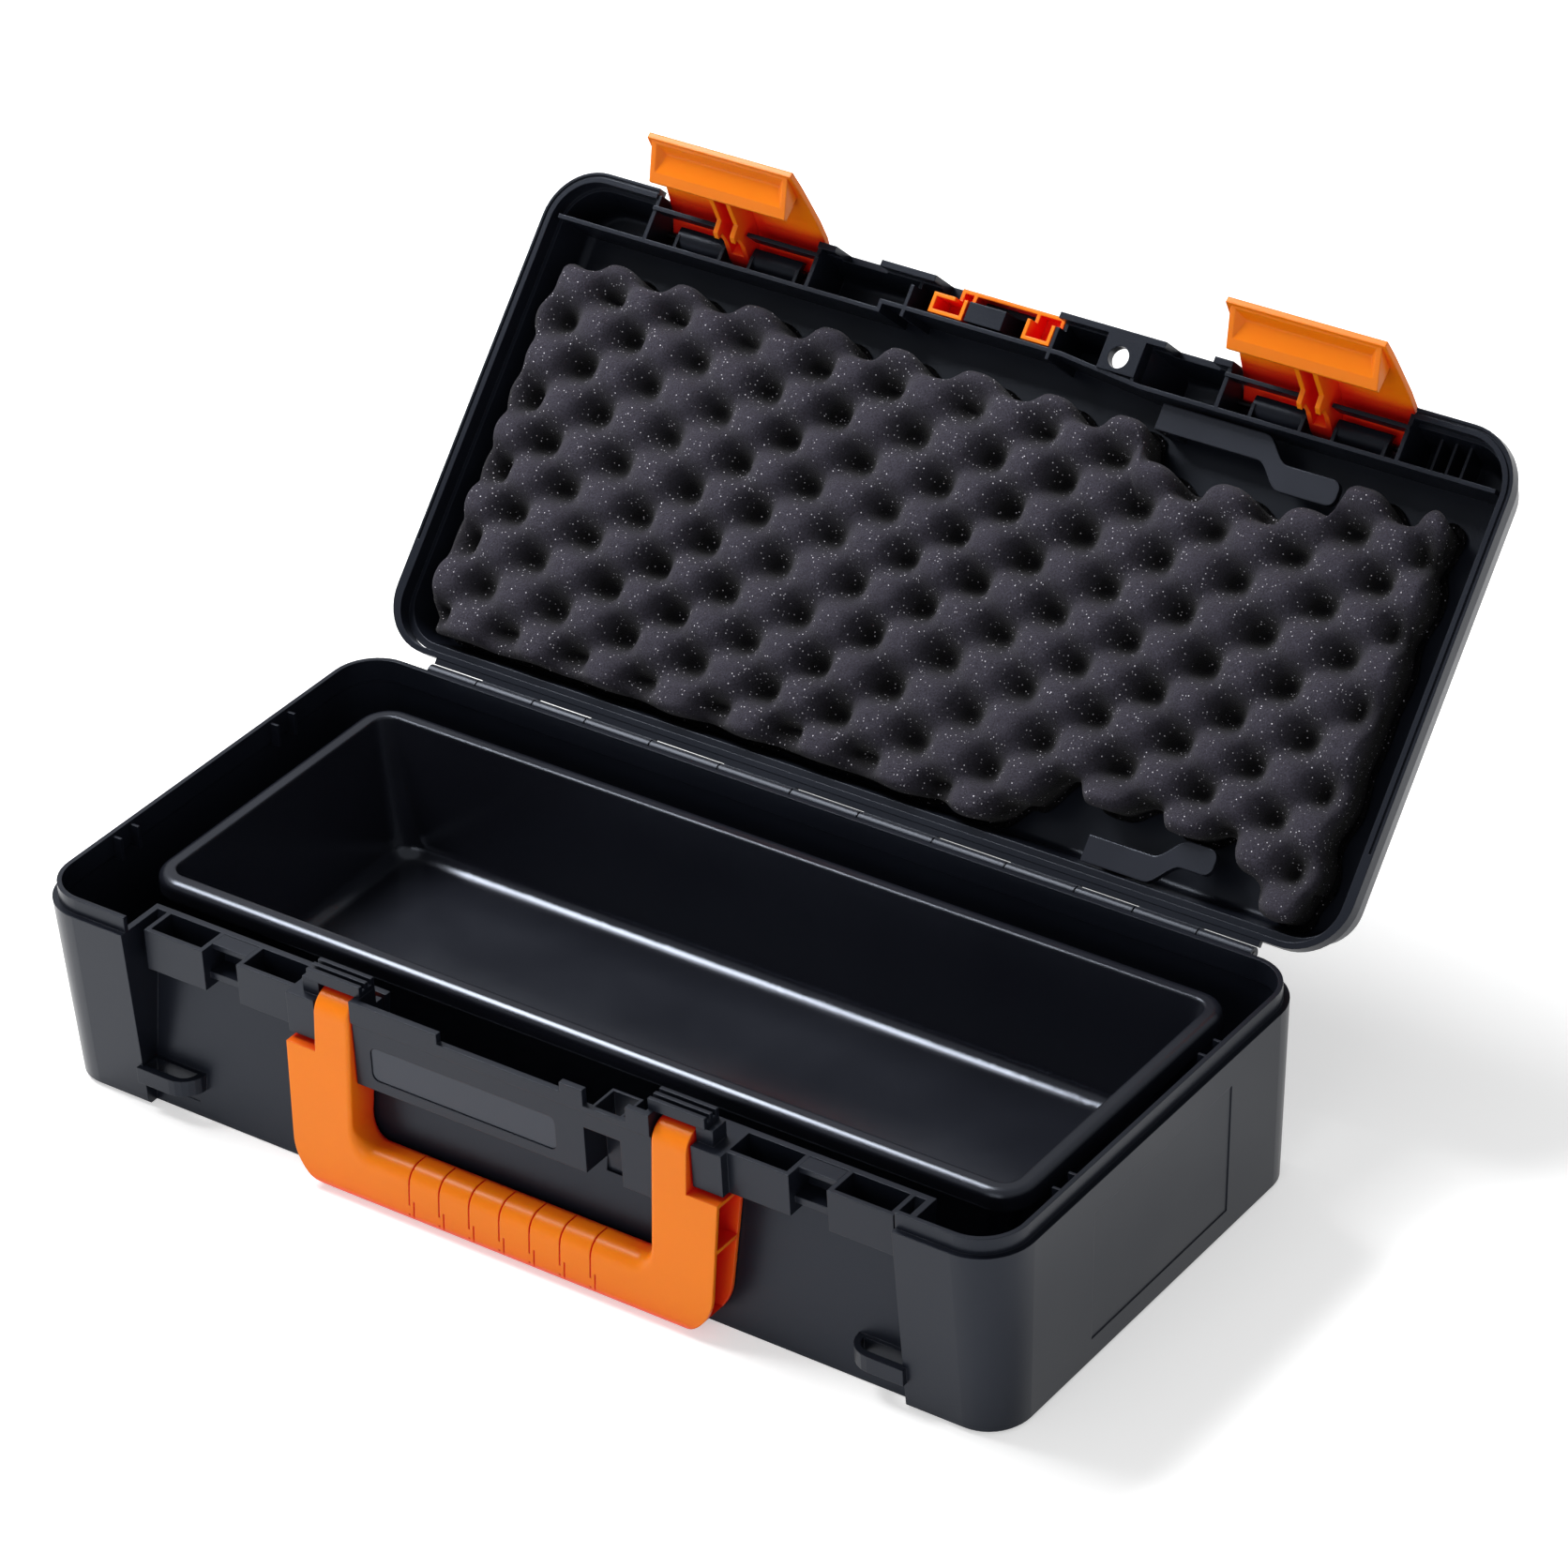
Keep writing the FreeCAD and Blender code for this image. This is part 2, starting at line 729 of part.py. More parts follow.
def end_panel(side):
    """The shallow sunk panel on one end wall, parallel to the drafted wall."""
    def wall(z):
        return half_length - d.side_draft + d.side_draft / d.ledge_height * z
    far = half_length + d.overrun
    low, high = d.end_panel_low, d.end_panel_high
    points = [(low, side * (wall(low) - d.end_panel_sink)), (low, side * far),
              (high, side * far), (high, side * (wall(high) - d.end_panel_sink))]
    return prism("Y", points, -d.end_panel_front, d.end_panel_back)


def guide_ribs(side):
    """Pairs of small ribs that stand off the inside of an end wall."""
    ribs = []
    wall = half_length - d.lip_inset - d.lip_wall
    for y in (d.guide_rib_back, d.guide_rib_back - d.guide_rib_gap,
              -d.guide_rib_front, -d.guide_rib_front + d.guide_rib_gap):
        ribs.append(box(side_span(side, wall - d.guide_rib_reach, wall + d.lip_wall / 2),
                        (y - d.guide_rib / 2, y + d.guide_rib / 2),
                        (lip_top - d.guide_rib_drop, lip_top - d.guide_rib)))
    return ribs


def floor_ribs():
    """Upright ribs on the floor that the tray stands on."""
    ribs = []
    low = d.base_floor / 2
    top = d.tray_floor - d.tray_wall
    half = d.tray_half - d.tray_end_draft - d.tray_corner
    for x in (-d.floor_rib_span, 0 * d.floor_rib_span, d.floor_rib_span):
        ribs.append(box((x - d.floor_rib / 2, x + d.floor_rib / 2),
                        (-d.tray_front + d.tray_corner, d.tray_back - d.tray_corner), (low, top)))
    middle = (d.tray_back - d.tray_front) / 2
    ribs.append(box(span(half), (middle - d.floor_rib / 2, middle + d.floor_rib / 2), (low, top)))
    return ribs


def base_shell():
    solid = [cut(base_outer(), base_cavity()), lip(), boss_outer()]
    hollow = [boss_cavity()]
    shell = cut(fuse(*solid), *hollow)
    extra, cuts = [shell] + channel_walls(), boss_cuts()
    for side in both_sides:
        more, less = sockets(side)
        extra += more
        cuts += less
        body, hole = strap_eye(side)
        extra.append(body)
        cuts.append(hole)
        cuts.append(end_panel(side))
        extra += guide_ribs(side)
        cuts.append(handle_pin_bore(side))
    extra += floor_ribs()
    extra += knuckles(0, half_depth - d.base_wall / 2, d.hinge_z - d.knuckle_radius, d.hinge_z - d.clearance)
    cuts.append(hinge_bore())
    node("base_shell", cut(fuse(*extra), *cuts))


def keepers():
    """The bar between two sockets that a latch hooks under."""
    for side, name in zip(both_sides, ("left", "right")):
        x = side_span(side, d.inner_socket_out, d.outer_socket_in)
        low = d.ledge_height - d.keeper_thickness
        y = (-d.panel_top - d.keeper_depth, panel_face(0, low))
        node("latch_keeper_" + name, box(x, y, (low, d.ledge_height)))


def name_insert():
    """The bare insert in the apron's sunk field."""
    gap = d.insert_gap
    face = -d.boss_front + d.apron_step + d.plate_sink
    plate = box((-d.plate_left + gap, d.plate_right - gap), (face - d.insert_thickness, face),
                (d.plate_bottom + gap, d.plate_top - gap))
    node("name_insert", round_edges(plate, d.plate_corner - gap, runs_along_y))


def handle_pin_span(side):
    return side_span(side, d.boss_half - d.base_wall, d.pillar_in + d.overrun)


def handle_pin_bore(side):
    return rod(-d.handle_pivot_y, d.handle_pivot_z, d.handle_pin, *handle_pin_span(side))


def hinge_pin():
    node("hinge_pin", rod(d.hinge_y, d.hinge_z, d.hinge_pin, *span(hinge_length / 2)))


def handle_parts():
    outline_depth = (-d.handle_front_foot - d.overrun * 2, -d.panel_top + d.overrun * 2)
    top = d.handle_pivot_z + d.handle_head
    legs = [box(side_span(side, d.arm_in, d.arm_out), outline_depth, (d.handle_bottom, top))
            for side in both_sides]
    lower = [prism("Y", [(d.handle_bottom, side * d.arm_in), (d.handle_step, side * d.arm_in),
                         (d.handle_step, side * d.handle_out),
                         (d.handle_bottom, side * (d.handle_out - d.handle_taper))], *outline_depth)
             for side in both_sides]
    grip = box(span(d.arm_in + d.handle_overlap), outline_depth, (d.handle_bottom, d.grip_top))
    front_view = fuse(grip, *legs, *lower)
    corner = value_of(d.handle_corner)
    inner, outer = value_of(d.arm_in), value_of(d.handle_out - d.handle_taper)
    low, high = value_of(d.handle_bottom), value_of(d.grip_top)
    slack = value_of(d.running_clearance)

    def along_y_at(edge, x, z):
        a, b = edge.Vertexes[0].Point, edge.Vertexes[-1].Point
        level = abs(a.z - z) < slack and abs(b.z - z) < slack
        return level and abs(abs(a.x) - x) < slack and abs(a.x - b.x) < slack
    front_view = cleaned(front_view)
    front_view = round_edges(front_view, corner, lambda e: along_y_at(e, outer, low))
    front_view = round_edges(front_view, d.grip_fillet, lambda e: along_y_at(e, inner, high))
    blade = prism("X", [(-d.handle_pivot_y - d.handle_head, d.handle_pivot_z),
                        (-d.handle_front_foot, d.handle_bottom), (-d.handle_back_foot, d.handle_bottom),
                        (-d.handle_pivot_y + d.handle_head, d.handle_pivot_z)], *span(d.handle_out))
    foot = value_of(d.handle_front_foot)

    def front_heel(edge):
        return all(abs(v.Y + foot) < slack and abs(v.Z - low) < slack for v in edge.Vertexes)
    blade = round_edges(blade, d.handle_heel, front_heel)
    bail = cleaned(common(front_view, blade))
    for way, radius in ((-1, d.handle_round_front), (1, d.handle_round_back)):
        bail = soften_rim(bail, way, radius)
    heads = []
    for side in both_sides:
        head = rod(-d.handle_pivot_y, d.handle_pivot_z, d.handle_head, *side_span(side, d.arm_in, d.arm_out))
        heads.append(round_edges(head, d.handle_round_arm, at_arm_inside))
    solid = fuse(bail, *heads)
    cuts = []
    for side in both_sides:
        cuts.append(rod(-d.handle_pivot_y, d.handle_pivot_z, d.handle_pin + d.running_clearance,
                        *side_span(side, d.arm_in - d.overrun, d.arm_out + d.overrun)))
        cuts += handle_hollows(side)
    for i in range(-3, 4):
        cuts += groove(d.groove_pitch * i)
    node("handle", cut(solid, *cuts))
    for side, name in zip(both_sides, ("left", "right")):
        node("handle_pin_" + name, rod(-d.handle_pivot_y, d.handle_pivot_z, d.handle_pin, *handle_pin_span(side)))
        node("handle_cap_" + name, handle_cap(side))


def handle_face(way, z):
    """The Y of the handle's front (-1) or back (1) face at a height."""
    share = (d.handle_pivot_z - z) / (d.handle_pivot_z - d.handle_bottom)
    foot = -d.handle_front_foot if way < 0 else -d.handle_back_foot
    top = -d.handle_pivot_y + d.handle_head * way
    return top + (foot - top) * share


def at_arm_inside(edge):
    """A test for the round edge of an arm's head that faces the opening."""
    inner = value_of(d.arm_in)
    return all(abs(abs(v.X) - inner) < value_of(d.running_clearance) for v in edge.Vertexes)


def soften_rim(solid, way, grip_radius):
    """Round the opening's rim on one face: a little along the arms, growing to the full round at the grip."""
    doc.recompute()
    chosen = inner_rim(way)
    arm, grip = value_of(d.handle_round_arm), value_of(grip_radius)
    low, rise = value_of(d.grip_top), value_of(d.grip_fillet)

    def radius(vertex):
        return grip + (arm - grip) * min(1, max(0, (vertex.Z - low) / rise))
    softened = doc.addObject("Part::Fillet", "Softened")
    softened.Base = solid
    softened.Edges = [(i, radius(edge.Vertexes[0]), radius(edge.Vertexes[-1]))
                      for i, edge in enumerate(solid.Shape.Edges, 1) if chosen(edge)]
    return softened


def inner_rim(way):
    """A test for the edges round the handle's opening on its front (-1) or back (1) face."""
    slack = value_of(d.running_clearance)
    side, low, high = value_of(d.arm_in), value_of(d.grip_top), value_of(d.handle_pivot_z)
    foot, top = value_of(handle_face(way, d.handle_bottom)), value_of(handle_face(way, d.handle_pivot_z))
    rise = high - value_of(d.handle_bottom)

    def chosen(edge):
        for share in (0, 0.5, 1):
            spot = edge.valueAt(edge.FirstParameter + (edge.LastParameter - edge.FirstParameter) * share)
            face = top + (foot - top) * (high - spot.z) / rise
            if abs(spot.y - face) > slack or abs(spot.x) > side + slack or not low - slack < spot.z < high + slack:
                return False
        return True
    return chosen


def groove(x):
    """One shallow line over the grip's top and rounded front edge, and dashes below it, each a shift on."""
    tools = []
    top, radius = d.grip_top, d.handle_round_front
    back = handle_face(1, top) + d.overrun
    front = handle_face(-1, top)
    band = (x - d.groove_band, x + d.groove_band)
    points = [(front - d.overrun, top + d.overrun), (back, top + d.overrun), (back, top - d.groove_depth)]
    for i in range(ARC_STEPS + 1):
        turn = math.pi / 2 * i / ARC_STEPS
        reach = radius - d.groove_depth
        points.append((front + radius - reach * math.sin(turn), top - radius + reach * math.cos(turn)))
    points.append((front - d.overrun, top - radius))
    tools.append(prism("X", points, *band))
    for i in range(3):
        high = top - radius - d.groove_dash * i * DASH_SHARE
        low = high - d.groove_dash
        low = low if i < 2 else d.handle_bottom + d.handle_heel
        shift = x + d.groove_shift * (i % 2)
        under, over = handle_face(-1, low), handle_face(-1, high)
        tools.append(prism("X", [(under + d.groove_depth, low), (under - d.overrun, low),
                                 (over - d.overrun, high), (over + d.groove_depth, high)],
                           shift - d.groove_band, shift + d.groove_band))
    return tools


def cleaned(solid):
    """Join the faces that fused blocks share, so that edges run on."""
    tidy = doc.addObject("Part::Refine", "Cleaned")
    tidy.Source = solid
    return tidy


def handle_hollows(side):
    """The two pockets in each end of the handle, open outwards, with a web between them."""
    pockets = []
    web = d.handle_skin / 2
    for low, high in ((d.handle_hollow_low, d.handle_hollow_web - web),
                      (d.handle_hollow_web + web, d.handle_step - d.handle_skin)):
        points = [(handle_face(-1, low) + d.handle_skin, low), (handle_face(1, low) - d.handle_skin, low),
                  (handle_face(1, high) - d.handle_skin, high), (handle_face(-1, high) + d.handle_skin, high)]
        pockets.append(prism("X", points, *side_span(side, d.handle_out - d.handle_hollow,
                                                     d.handle_out + d.overrun)))
    return pockets


def handle_cap(side):
    """The ribbed cover that bridges the arm from the boss to the pillar."""
    x = side_span(side, d.cap_in, d.cap_out)
    y = (-d.cap_front, -d.cap_back)
    parts = [box(x, y, (lip_top, lip_top + d.cap_height))]
    ridge = (d.cap_front - d.cap_back) / 5
    for i in (0, 2, 4):
        low = -d.cap_front + ridge * i
        parts.append(box(x, (low, low + ridge), (lip_top + d.cap_height / 2, lip_top + d.cap_height + d.cap_ridge)))
    return fuse(*parts)


def lid_outline(inset, z):
    """The lid's plan outline, brought in evenly from its largest size, at a height."""
    front = -half_depth - d.lid_over_front
    back = half_depth + d.lid_over_back
    return (span(half_length + d.lid_over_side - inset), (front + inset, back - inset),
            d.corner_radius + d.lid_over_side - inset, z)


def lid_body():
    """The lid's hollow cover: a flange round the rim, and a drafted box with a rounded top edge."""
    none = 0 * d.lid_wall
    shoulder = lid_low + d.flange_height
    top_inset = d.flange_step + d.lid_draft
    flange = rounded_block(lid_outline(none, lid_low), lid_outline(none, shoulder))
    outer = rounded_block(lid_outline(d.flange_step, shoulder - d.lid_wall), lid_outline(top_inset, lid_top))
    outer = round_edges(outer, d.lid_edge, level_at(lid_top))
    mouth = d.flange_step + d.lid_wall
    inside = rounded_block(lid_outline(mouth, lid_low), lid_outline(mouth + d.lid_draft, lid_ceiling))
    inside = round_edges(inside, d.lid_edge - d.lid_wall, level_at(lid_ceiling))
    below = rounded_block(lid_outline(mouth, lid_low - d.overrun), lid_outline(mouth, lid_low))
    lip_room = d.clearance / 2 - d.lip_inset
    room = (span(half_length + lip_room), span(half_depth + lip_room), d.corner_radius + lip_room)
    lip_pocket = rounded_block((*room, lid_low - d.overrun), (*room, lip_top + d.clearance))
    line = ring(d.rim_line, 0 * d.rim_line, lid_low - d.overrun, lid_low + d.rim_line_depth)
    line = common(line, box(span(half_length + d.overrun),
                            (-half_depth - d.overrun, half_depth - d.corner_radius * 2),
                            (lid_low - d.overrun, lid_top)))
    front = -half_depth - d.lid_over_front - d.overrun
    centre = box(span(d.bay_out), (front, -d.rail_front), (lid_low - d.overrun, shoulder + d.running_clearance))
    face = box(span(d.bay_out), (front, -d.front_face), (lid_low - d.overrun, lid_top + d.overrun))
    return cut(fuse(cut(flange, centre), outer), inside, below, lip_pocket, line, face)


def rail():
    """The long inner wall behind the latch bays, which steps forward in the middle."""
    reach = half_length - d.lip_inset - d.lip_wall - d.clearance
    back, fore, wall = -d.rail_front + d.rail_wall, -d.rail_centre + d.rail_wall, d.rail_wall
    low = lid_low + d.rail_rise
    points = [(-reach, back - wall), (-d.rail_jog_out, back - wall), (-d.rail_jog_out, fore - wall),
              (d.rail_jog_in, fore - wall), (d.rail_jog_out, back - wall), (reach, back - wall),
              (reach, back), (d.rail_jog_out, back), (d.rail_jog_in, fore),
              (-d.rail_jog_out + wall, fore), (-d.rail_jog_out + wall, back), (-reach, back)]
    high = lid_ceiling + d.lid_wall / 2
    ends = [box(side_span(side, reach - wall, half_length - d.flange_step), (back - wall, back),
                (lip_top + d.clearance, high)) for side in both_sides]
    return common(fuse(prism("Z", points, low, high), *ends), lid_envelope())


def lid_envelope():
    """The space that nothing inside the lid may leave."""
    inset = d.flange_step + d.lid_wall / 2
    return rounded_block(lid_outline(inset, lid_low),
                         lid_outline(inset + d.lid_draft, lid_ceiling + d.lid_wall / 2))


def bay(side):
    """One latch bay: two end ribs, the slotted strip along the rim and the lintel over the opening."""
    low = lid_low + d.rail_rise
    high = lid_ceiling + d.lid_wall / 2
    parts = []
    for x in (d.bay_in, d.bay_out - d.lid_rib):
        parts.append(box(side_span(side, x, x + d.lid_rib), (-d.front_face, -d.rail_front + d.rail_wall / 2),
                         (low, high)))
    bar = (-d.rim_bar_front, -d.rim_bar_back)
    for inner, outer in ((d.bay_in, d.web_gap_in), (d.web_gap_out, d.bay_out)):
        parts.append(box(side_span(side, inner, outer), bar, (lid_low, d.rim_bar_top)))
    parts.append(box(side_span(side, d.bay_in, d.bay_out), bar, (d.bay_top, high)))
    return parts


def pin_cover(side):
    """The two half barrels that shield a latch's ears, each on two webs from the rail."""
    parts = []
    inner_radius = d.barrel_radius - d.barrel_wall
    middle = latch_centre()
    low = d.latch_pivot_z - d.barrel_radius - d.clearance
    high = d.latch_pivot_z - d.barrel_lift
    for start in (middle - d.barrel_gap - d.barrel_length, middle + d.barrel_gap):
        x = side_span(side, start, start + d.barrel_length)
        shell = cut(rod(-d.latch_pivot_y, d.latch_pivot_z, d.barrel_radius, *x),
                    rod(-d.latch_pivot_y, d.latch_pivot_z, inner_radius, *x))
        slab = box(x, (-d.latch_pivot_y - d.barrel_radius, -d.latch_pivot_y + d.barrel_radius), (low, high))
        parts.append(common(shell, slab))
        for end in (start, start + d.barrel_length - d.rib_wall):
            parts.append(box(side_span(side, end, end + d.rib_wall),
                             (-d.latch_pivot_y, -d.rail_front + d.rail_wall / 2), (low, high)))
    return parts


def corner_ribs():
    """Three low stiffening ribs in the pocket at the lid's right front corner."""
    ribs = []
    for i in range(3):
        x = d.bay_out + d.corner_rib_first + d.corner_rib_pitch * i
        ribs.append(box((x, x + d.corner_rib), (-half_depth, -d.rail_front + d.rail_wall / 2),
                        (lid_ceiling - d.corner_rib_height, lid_ceiling + d.lid_wall / 2)))
    return [common(fuse(*ribs), lid_envelope())]


def bay_cut(side):
    """Clear the lid's face in front of a bay, where the latch lies and its arms pass in."""
    front = -half_depth - d.overrun * 2
    inner, outer = d.bay_in + d.lid_rib, d.bay_out - d.lid_rib
    face = box(side_span(side, inner, outer), (front, -d.rim_bar_front), (lid_low - d.overrun, d.bay_top))
    opening = box(side_span(side, inner, outer), (front, -d.rim_bar_back + d.overrun / 3),
                  (d.rim_bar_top, d.bay_top))
    gap = box(side_span(side, d.web_gap_in, d.web_gap_out), (front, -d.rim_bar_back),
              (lid_low - d.overrun, d.bay_top))
    return [face, opening, gap]


def lid_front():
    """The lid's front wall between the bays and the ribs that divide its pockets."""
    low = lid_low + d.rail_rise
    high = lid_ceiling + d.lid_wall / 2
    back = -d.rail_front + d.rail_wall / 2
    inner_face = -d.boss_front - d.clearance
    parts = [box(span(d.bay_in + d.lid_rib), (-d.front_face, inner_face), (lid_low, high))]
    clear = -d.boss_front + d.base_wall + d.clearance
    for x in (-d.slide_left - d.slide_travel - d.rib_wall - d.clearance, d.slide_right + d.clearance,
              d.lock_x + d.tab_recess_half):
        parts.append(box((x, x + d.rib_wall), (clear, back), (low, high)))
        parts.append(box((x, x + d.rib_wall), (inner_face - d.clearance, back), (lip_top + d.clearance, high)))
    parts.append(box((-d.guide_left, -d.guide_right), (clear, -d.slide_back - d.clearance),
                     (low, high)))
    return parts


def front_cuts():
    """Notches for the handle arms, the window of the lock slide and the padlock recess."""
    cuts = []
    front = -half_depth - d.overrun
    face = (front, -d.boss_front + d.clearance)
    for side in both_sides:
        cuts.append(box(side_span(side, d.notch_in, d.notch_out), face, (lid_low - d.overrun, d.notch_top)))
    window = (front, -d.boss_front + d.base_wall)
    cuts.append(box((-d.slide_front_left - d.slide_travel - d.clearance, d.slide_right + d.clearance), window,
                    (lid_low - d.overrun, d.slide_top + d.clearance)))
    return cuts


def padlock_recess():
    """The well over the padlock tab: its walls, and the space that is cut inside them."""
    half, wall = d.tab_recess_half, d.rib_wall
    back = -d.tab_back
    x = (d.lock_x - half, d.lock_x + half)
    low, high = lip_top + d.clearance, lid_top + d.overrun

    def flared(extra, bottom, front, rear):
        reach = half + d.well_flare + extra
        points = [(bottom, d.lock_x - half - extra), (bottom, d.lock_x + half + extra),
                  (high, d.lock_x + reach), (high, d.lock_x - reach)]
        return prism("Y", points, front, rear)
    walls = common(flared(wall, low, -d.front_face, back + wall), lid_envelope())
    tab = box((x[0], x[1]), (-d.tab_front, back + wall),
              (lid_low, lid_low + d.tab_thickness))
    space = flared(0 * wall, low + wall, -half_depth - d.overrun, back)
    floor = box(x, (-d.tab_front, back), (lid_low + d.tab_thickness, low + wall + d.overrun))
    rib = box((x[1], x[1] + wall), (-d.front_face, back + wall), (lid_low, low + wall))
    hole = post(d.lock_x, -d.lock_y, d.lock_hole, lid_low - d.overrun, lid_low + d.overrun * 2)
    return [walls, tab, rib], [space, floor, hole]


def lid_shell():
    walls = [lid_body(), rail()]
    cuts = front_cuts()
    for side in both_sides:
        walls += bay(side)
        walls += pin_cover(side)
        cuts += bay_cut(side)
        cuts.append(rod(-d.latch_pivot_y, d.latch_pivot_z, d.latch_pin,
                        *side_span(side, d.bay_in + d.lid_rib / 2, d.bay_out - d.lid_rib / 2)))
    walls += lid_front()
    walls += corner_ribs()
    solid, hollow = padlock_recess()
    walls += solid
    cuts += hollow
    leaf_low = lid_low + d.clearance / 2
    walls += knuckles(1, half_depth - d.clearance, leaf_low, leaf_low + d.leaf)
    walls.append(box(span(hinge_length / 2), (half_depth - d.clearance, d.hinge_y - d.knuckle_radius - d.clearance),
                     (leaf_low, leaf_low + d.leaf)))
    cuts.append(hinge_bore())
    opened(node("lid_shell", cut(fuse(*walls), *cuts)))


def latch_outline():
    """The latch's outer face seen from the end: from the free edge up to the pivot."""
    return [(-d.latch_pivot_y - d.latch_bulge * out, d.latch_pivot_z - d.latch_length * down)
            for out, down in LATCH_SHARES]


def latch_plate(side):
    outer = latch_outline()
    wall = d.latch_wall
    top = (-d.latch_pivot_y - wall / 2, d.latch_pivot_z + d.latch_ear)
    under = (-d.latch_pivot_y - wall / 2, d.latch_pivot_z + d.latch_ear - wall)
    inner = [(y + wall, z) for y, z in outer]
    points = outer + [top, under] + [inner[5], inner[4], inner[3], inner[2], inner[1], inner[0]]
    plate = prism("X", points, *side_span(side, d.latch_inner, d.latch_outer))
    trim = []
    low = outer[0][1] - d.overrun
    front, back = outer[0][0] - d.overrun, -d.latch_pivot_y
    for edge, inward in ((d.latch_inner, 1), (d.latch_outer, -1)):
        far = edge - inward * d.overrun
        points = [(low, side * far), (low, side * (edge + inward * d.latch_taper * TAPER_SHARE)),
                  (outer[4][1], side * edge), (outer[4][1], side * far)]
        trim.append(prism("Y", points, front, back))
    return cut(plate, *trim)


def latch_pocket(side):
    """The finger shelf at the free end: a wedge behind the plate with a mitred trough sunk in it."""
    outer = latch_outline()
    tip = (outer[0][0] + d.latch_wall / 2, outer[0][1])
    shelf = (outer[1][0] + d.pocket_reach, outer[1][1] + d.pocket_rise)
    edge = (shelf[0] - d.pocket_wall / 4, shelf[1] + d.pocket_wall)
    root = (outer[1][0] + d.latch_wall / 2, shelf[1])
    block = prism("X", [tip, shelf, edge, root], *pocket_span(side, 0 * d.pocket_wall))
    return cut(block, pocket_trough(side, tip, shelf))


def pocket_span(side, inset):
    return side_span(side, d.latch_inner + d.latch_taper + d.pocket_inset + inset,
                     d.latch_outer - d.latch_taper - d.pocket_inset - inset)


def pocket_trough(side, tip, shelf):
    """A roof-shaped space: a mouth between the shelf edge and the tip, narrowing to its floor line."""
    mouth = pocket_span(side, d.pocket_rim)
    floor = pocket_span(side, d.pocket_rim + d.pocket_mitre)
    across = shelf[0] - tip[0]
    rise = shelf[1] - tip[1]
    length = Size("sqrt(%s^2 + %s^2)" % (across.text, rise.text), math.hypot(across.value, rise.value))
    slope = math.degrees(math.atan2(rise.value, across.value))
    space = doc.addObject("Part::Wedge", "Trough")
    line = length * TROUGH_SHARE
    bounds = (("Xmin", mouth[0]), ("Xmax", mouth[1]), ("Ymin", -d.pocket_wall), ("Ymax", d.pocket_depth),
              ("Zmin", d.pocket_rim), ("Zmax", length - d.pocket_rim),
              ("X2min", floor[0]), ("X2max", floor[1]),
              ("Z2min", line - d.pocket_wall / 4), ("Z2max", line + d.pocket_wall / 4))
    for name, place in bounds:
        bind(space, name, place)
    space.Placement = FreeCAD.Placement(Vector(), FreeCAD.Rotation(Vector(1, 0, 0), slope + 90))
    bind(space, "Placement.Base.y", shelf[0])
    bind(space, "Placement.Base.z", shelf[1])
    return space


def latch_centre():
    return (d.web_gap_in + d.web_gap_out) / 2


def latch_web(side):
    """The hollow arm in the middle, from the shelf to the pivot, with the hook that catches the keeper."""
    centre = latch_centre()
    outer = latch_outline()
    ear = d.latch_ear
    keeper_under = d.ledge_height - d.keeper_thickness - d.clearance
    hook_back = -d.panel_top - d.keeper_depth + d.keeper_bar * HOOK_SHARES[0]
    blade = -d.panel_top - d.keeper_depth - d.clearance * 2
    shelf_end, shelf_high = outer[1][0] + d.pocket_reach - d.pocket_wall, outer[1][1] + d.pocket_rise
    points = [(outer[1][0] + d.latch_wall / 2, shelf_high),
              (outer[2][0] + d.latch_wall / 2, outer[2][1]), (outer[4][0] + d.latch_wall / 2, outer[4][1]),
              (-d.latch_pivot_y - ear / 2, d.latch_pivot_z + ear - d.latch_wall / 2),
              (-d.latch_pivot_y + ear, d.latch_pivot_z + ear / 2),
              (-d.latch_pivot_y + ear, d.latch_pivot_z - ear / 2),
              (blade, d.ledge_height + ear), (blade, keeper_under), (hook_back, keeper_under),
              (hook_back - d.keeper_bar / 3, keeper_under - d.keeper_bar),
              (blade - d.keeper_bar, keeper_under - d.keeper_bar * HOOK_SHARES[1]), (shelf_end, shelf_high)]
    web = prism("X", points, *side_span(side, centre - d.latch_web / 2, centre + d.latch_web / 2))
    room = d.latch_web / 2 - d.web_rib
    hollow = box(side_span(side, centre - room, centre + room),
                 (outer[2][0] + d.latch_wall * HOLLOW_SHARE, blade + d.overrun),
                 (shelf_high + d.pocket_wall * HOLLOW_SHARE, d.latch_pivot_z - ear - d.latch_wall))
    return cut(web, hollow)


def latch_ears(side):
    parts = []
    arm_low = d.latch_pivot_z + d.latch_ear - d.latch_wall * ARM_SHARE
    for offset in (-d.latch_ear_offset, d.latch_ear_offset):
        middle = latch_centre() + offset
        x = side_span(side, middle - d.latch_ear_width / 2, middle + d.latch_ear_width / 2)
        parts.append(rod(-d.latch_pivot_y, d.latch_pivot_z, d.latch_ear, *x))
        parts.append(box(x, (latch_outline()[5][0] + d.latch_wall, -d.latch_pivot_y),
                         (arm_low, d.latch_pivot_z + d.latch_ear)))
    return parts


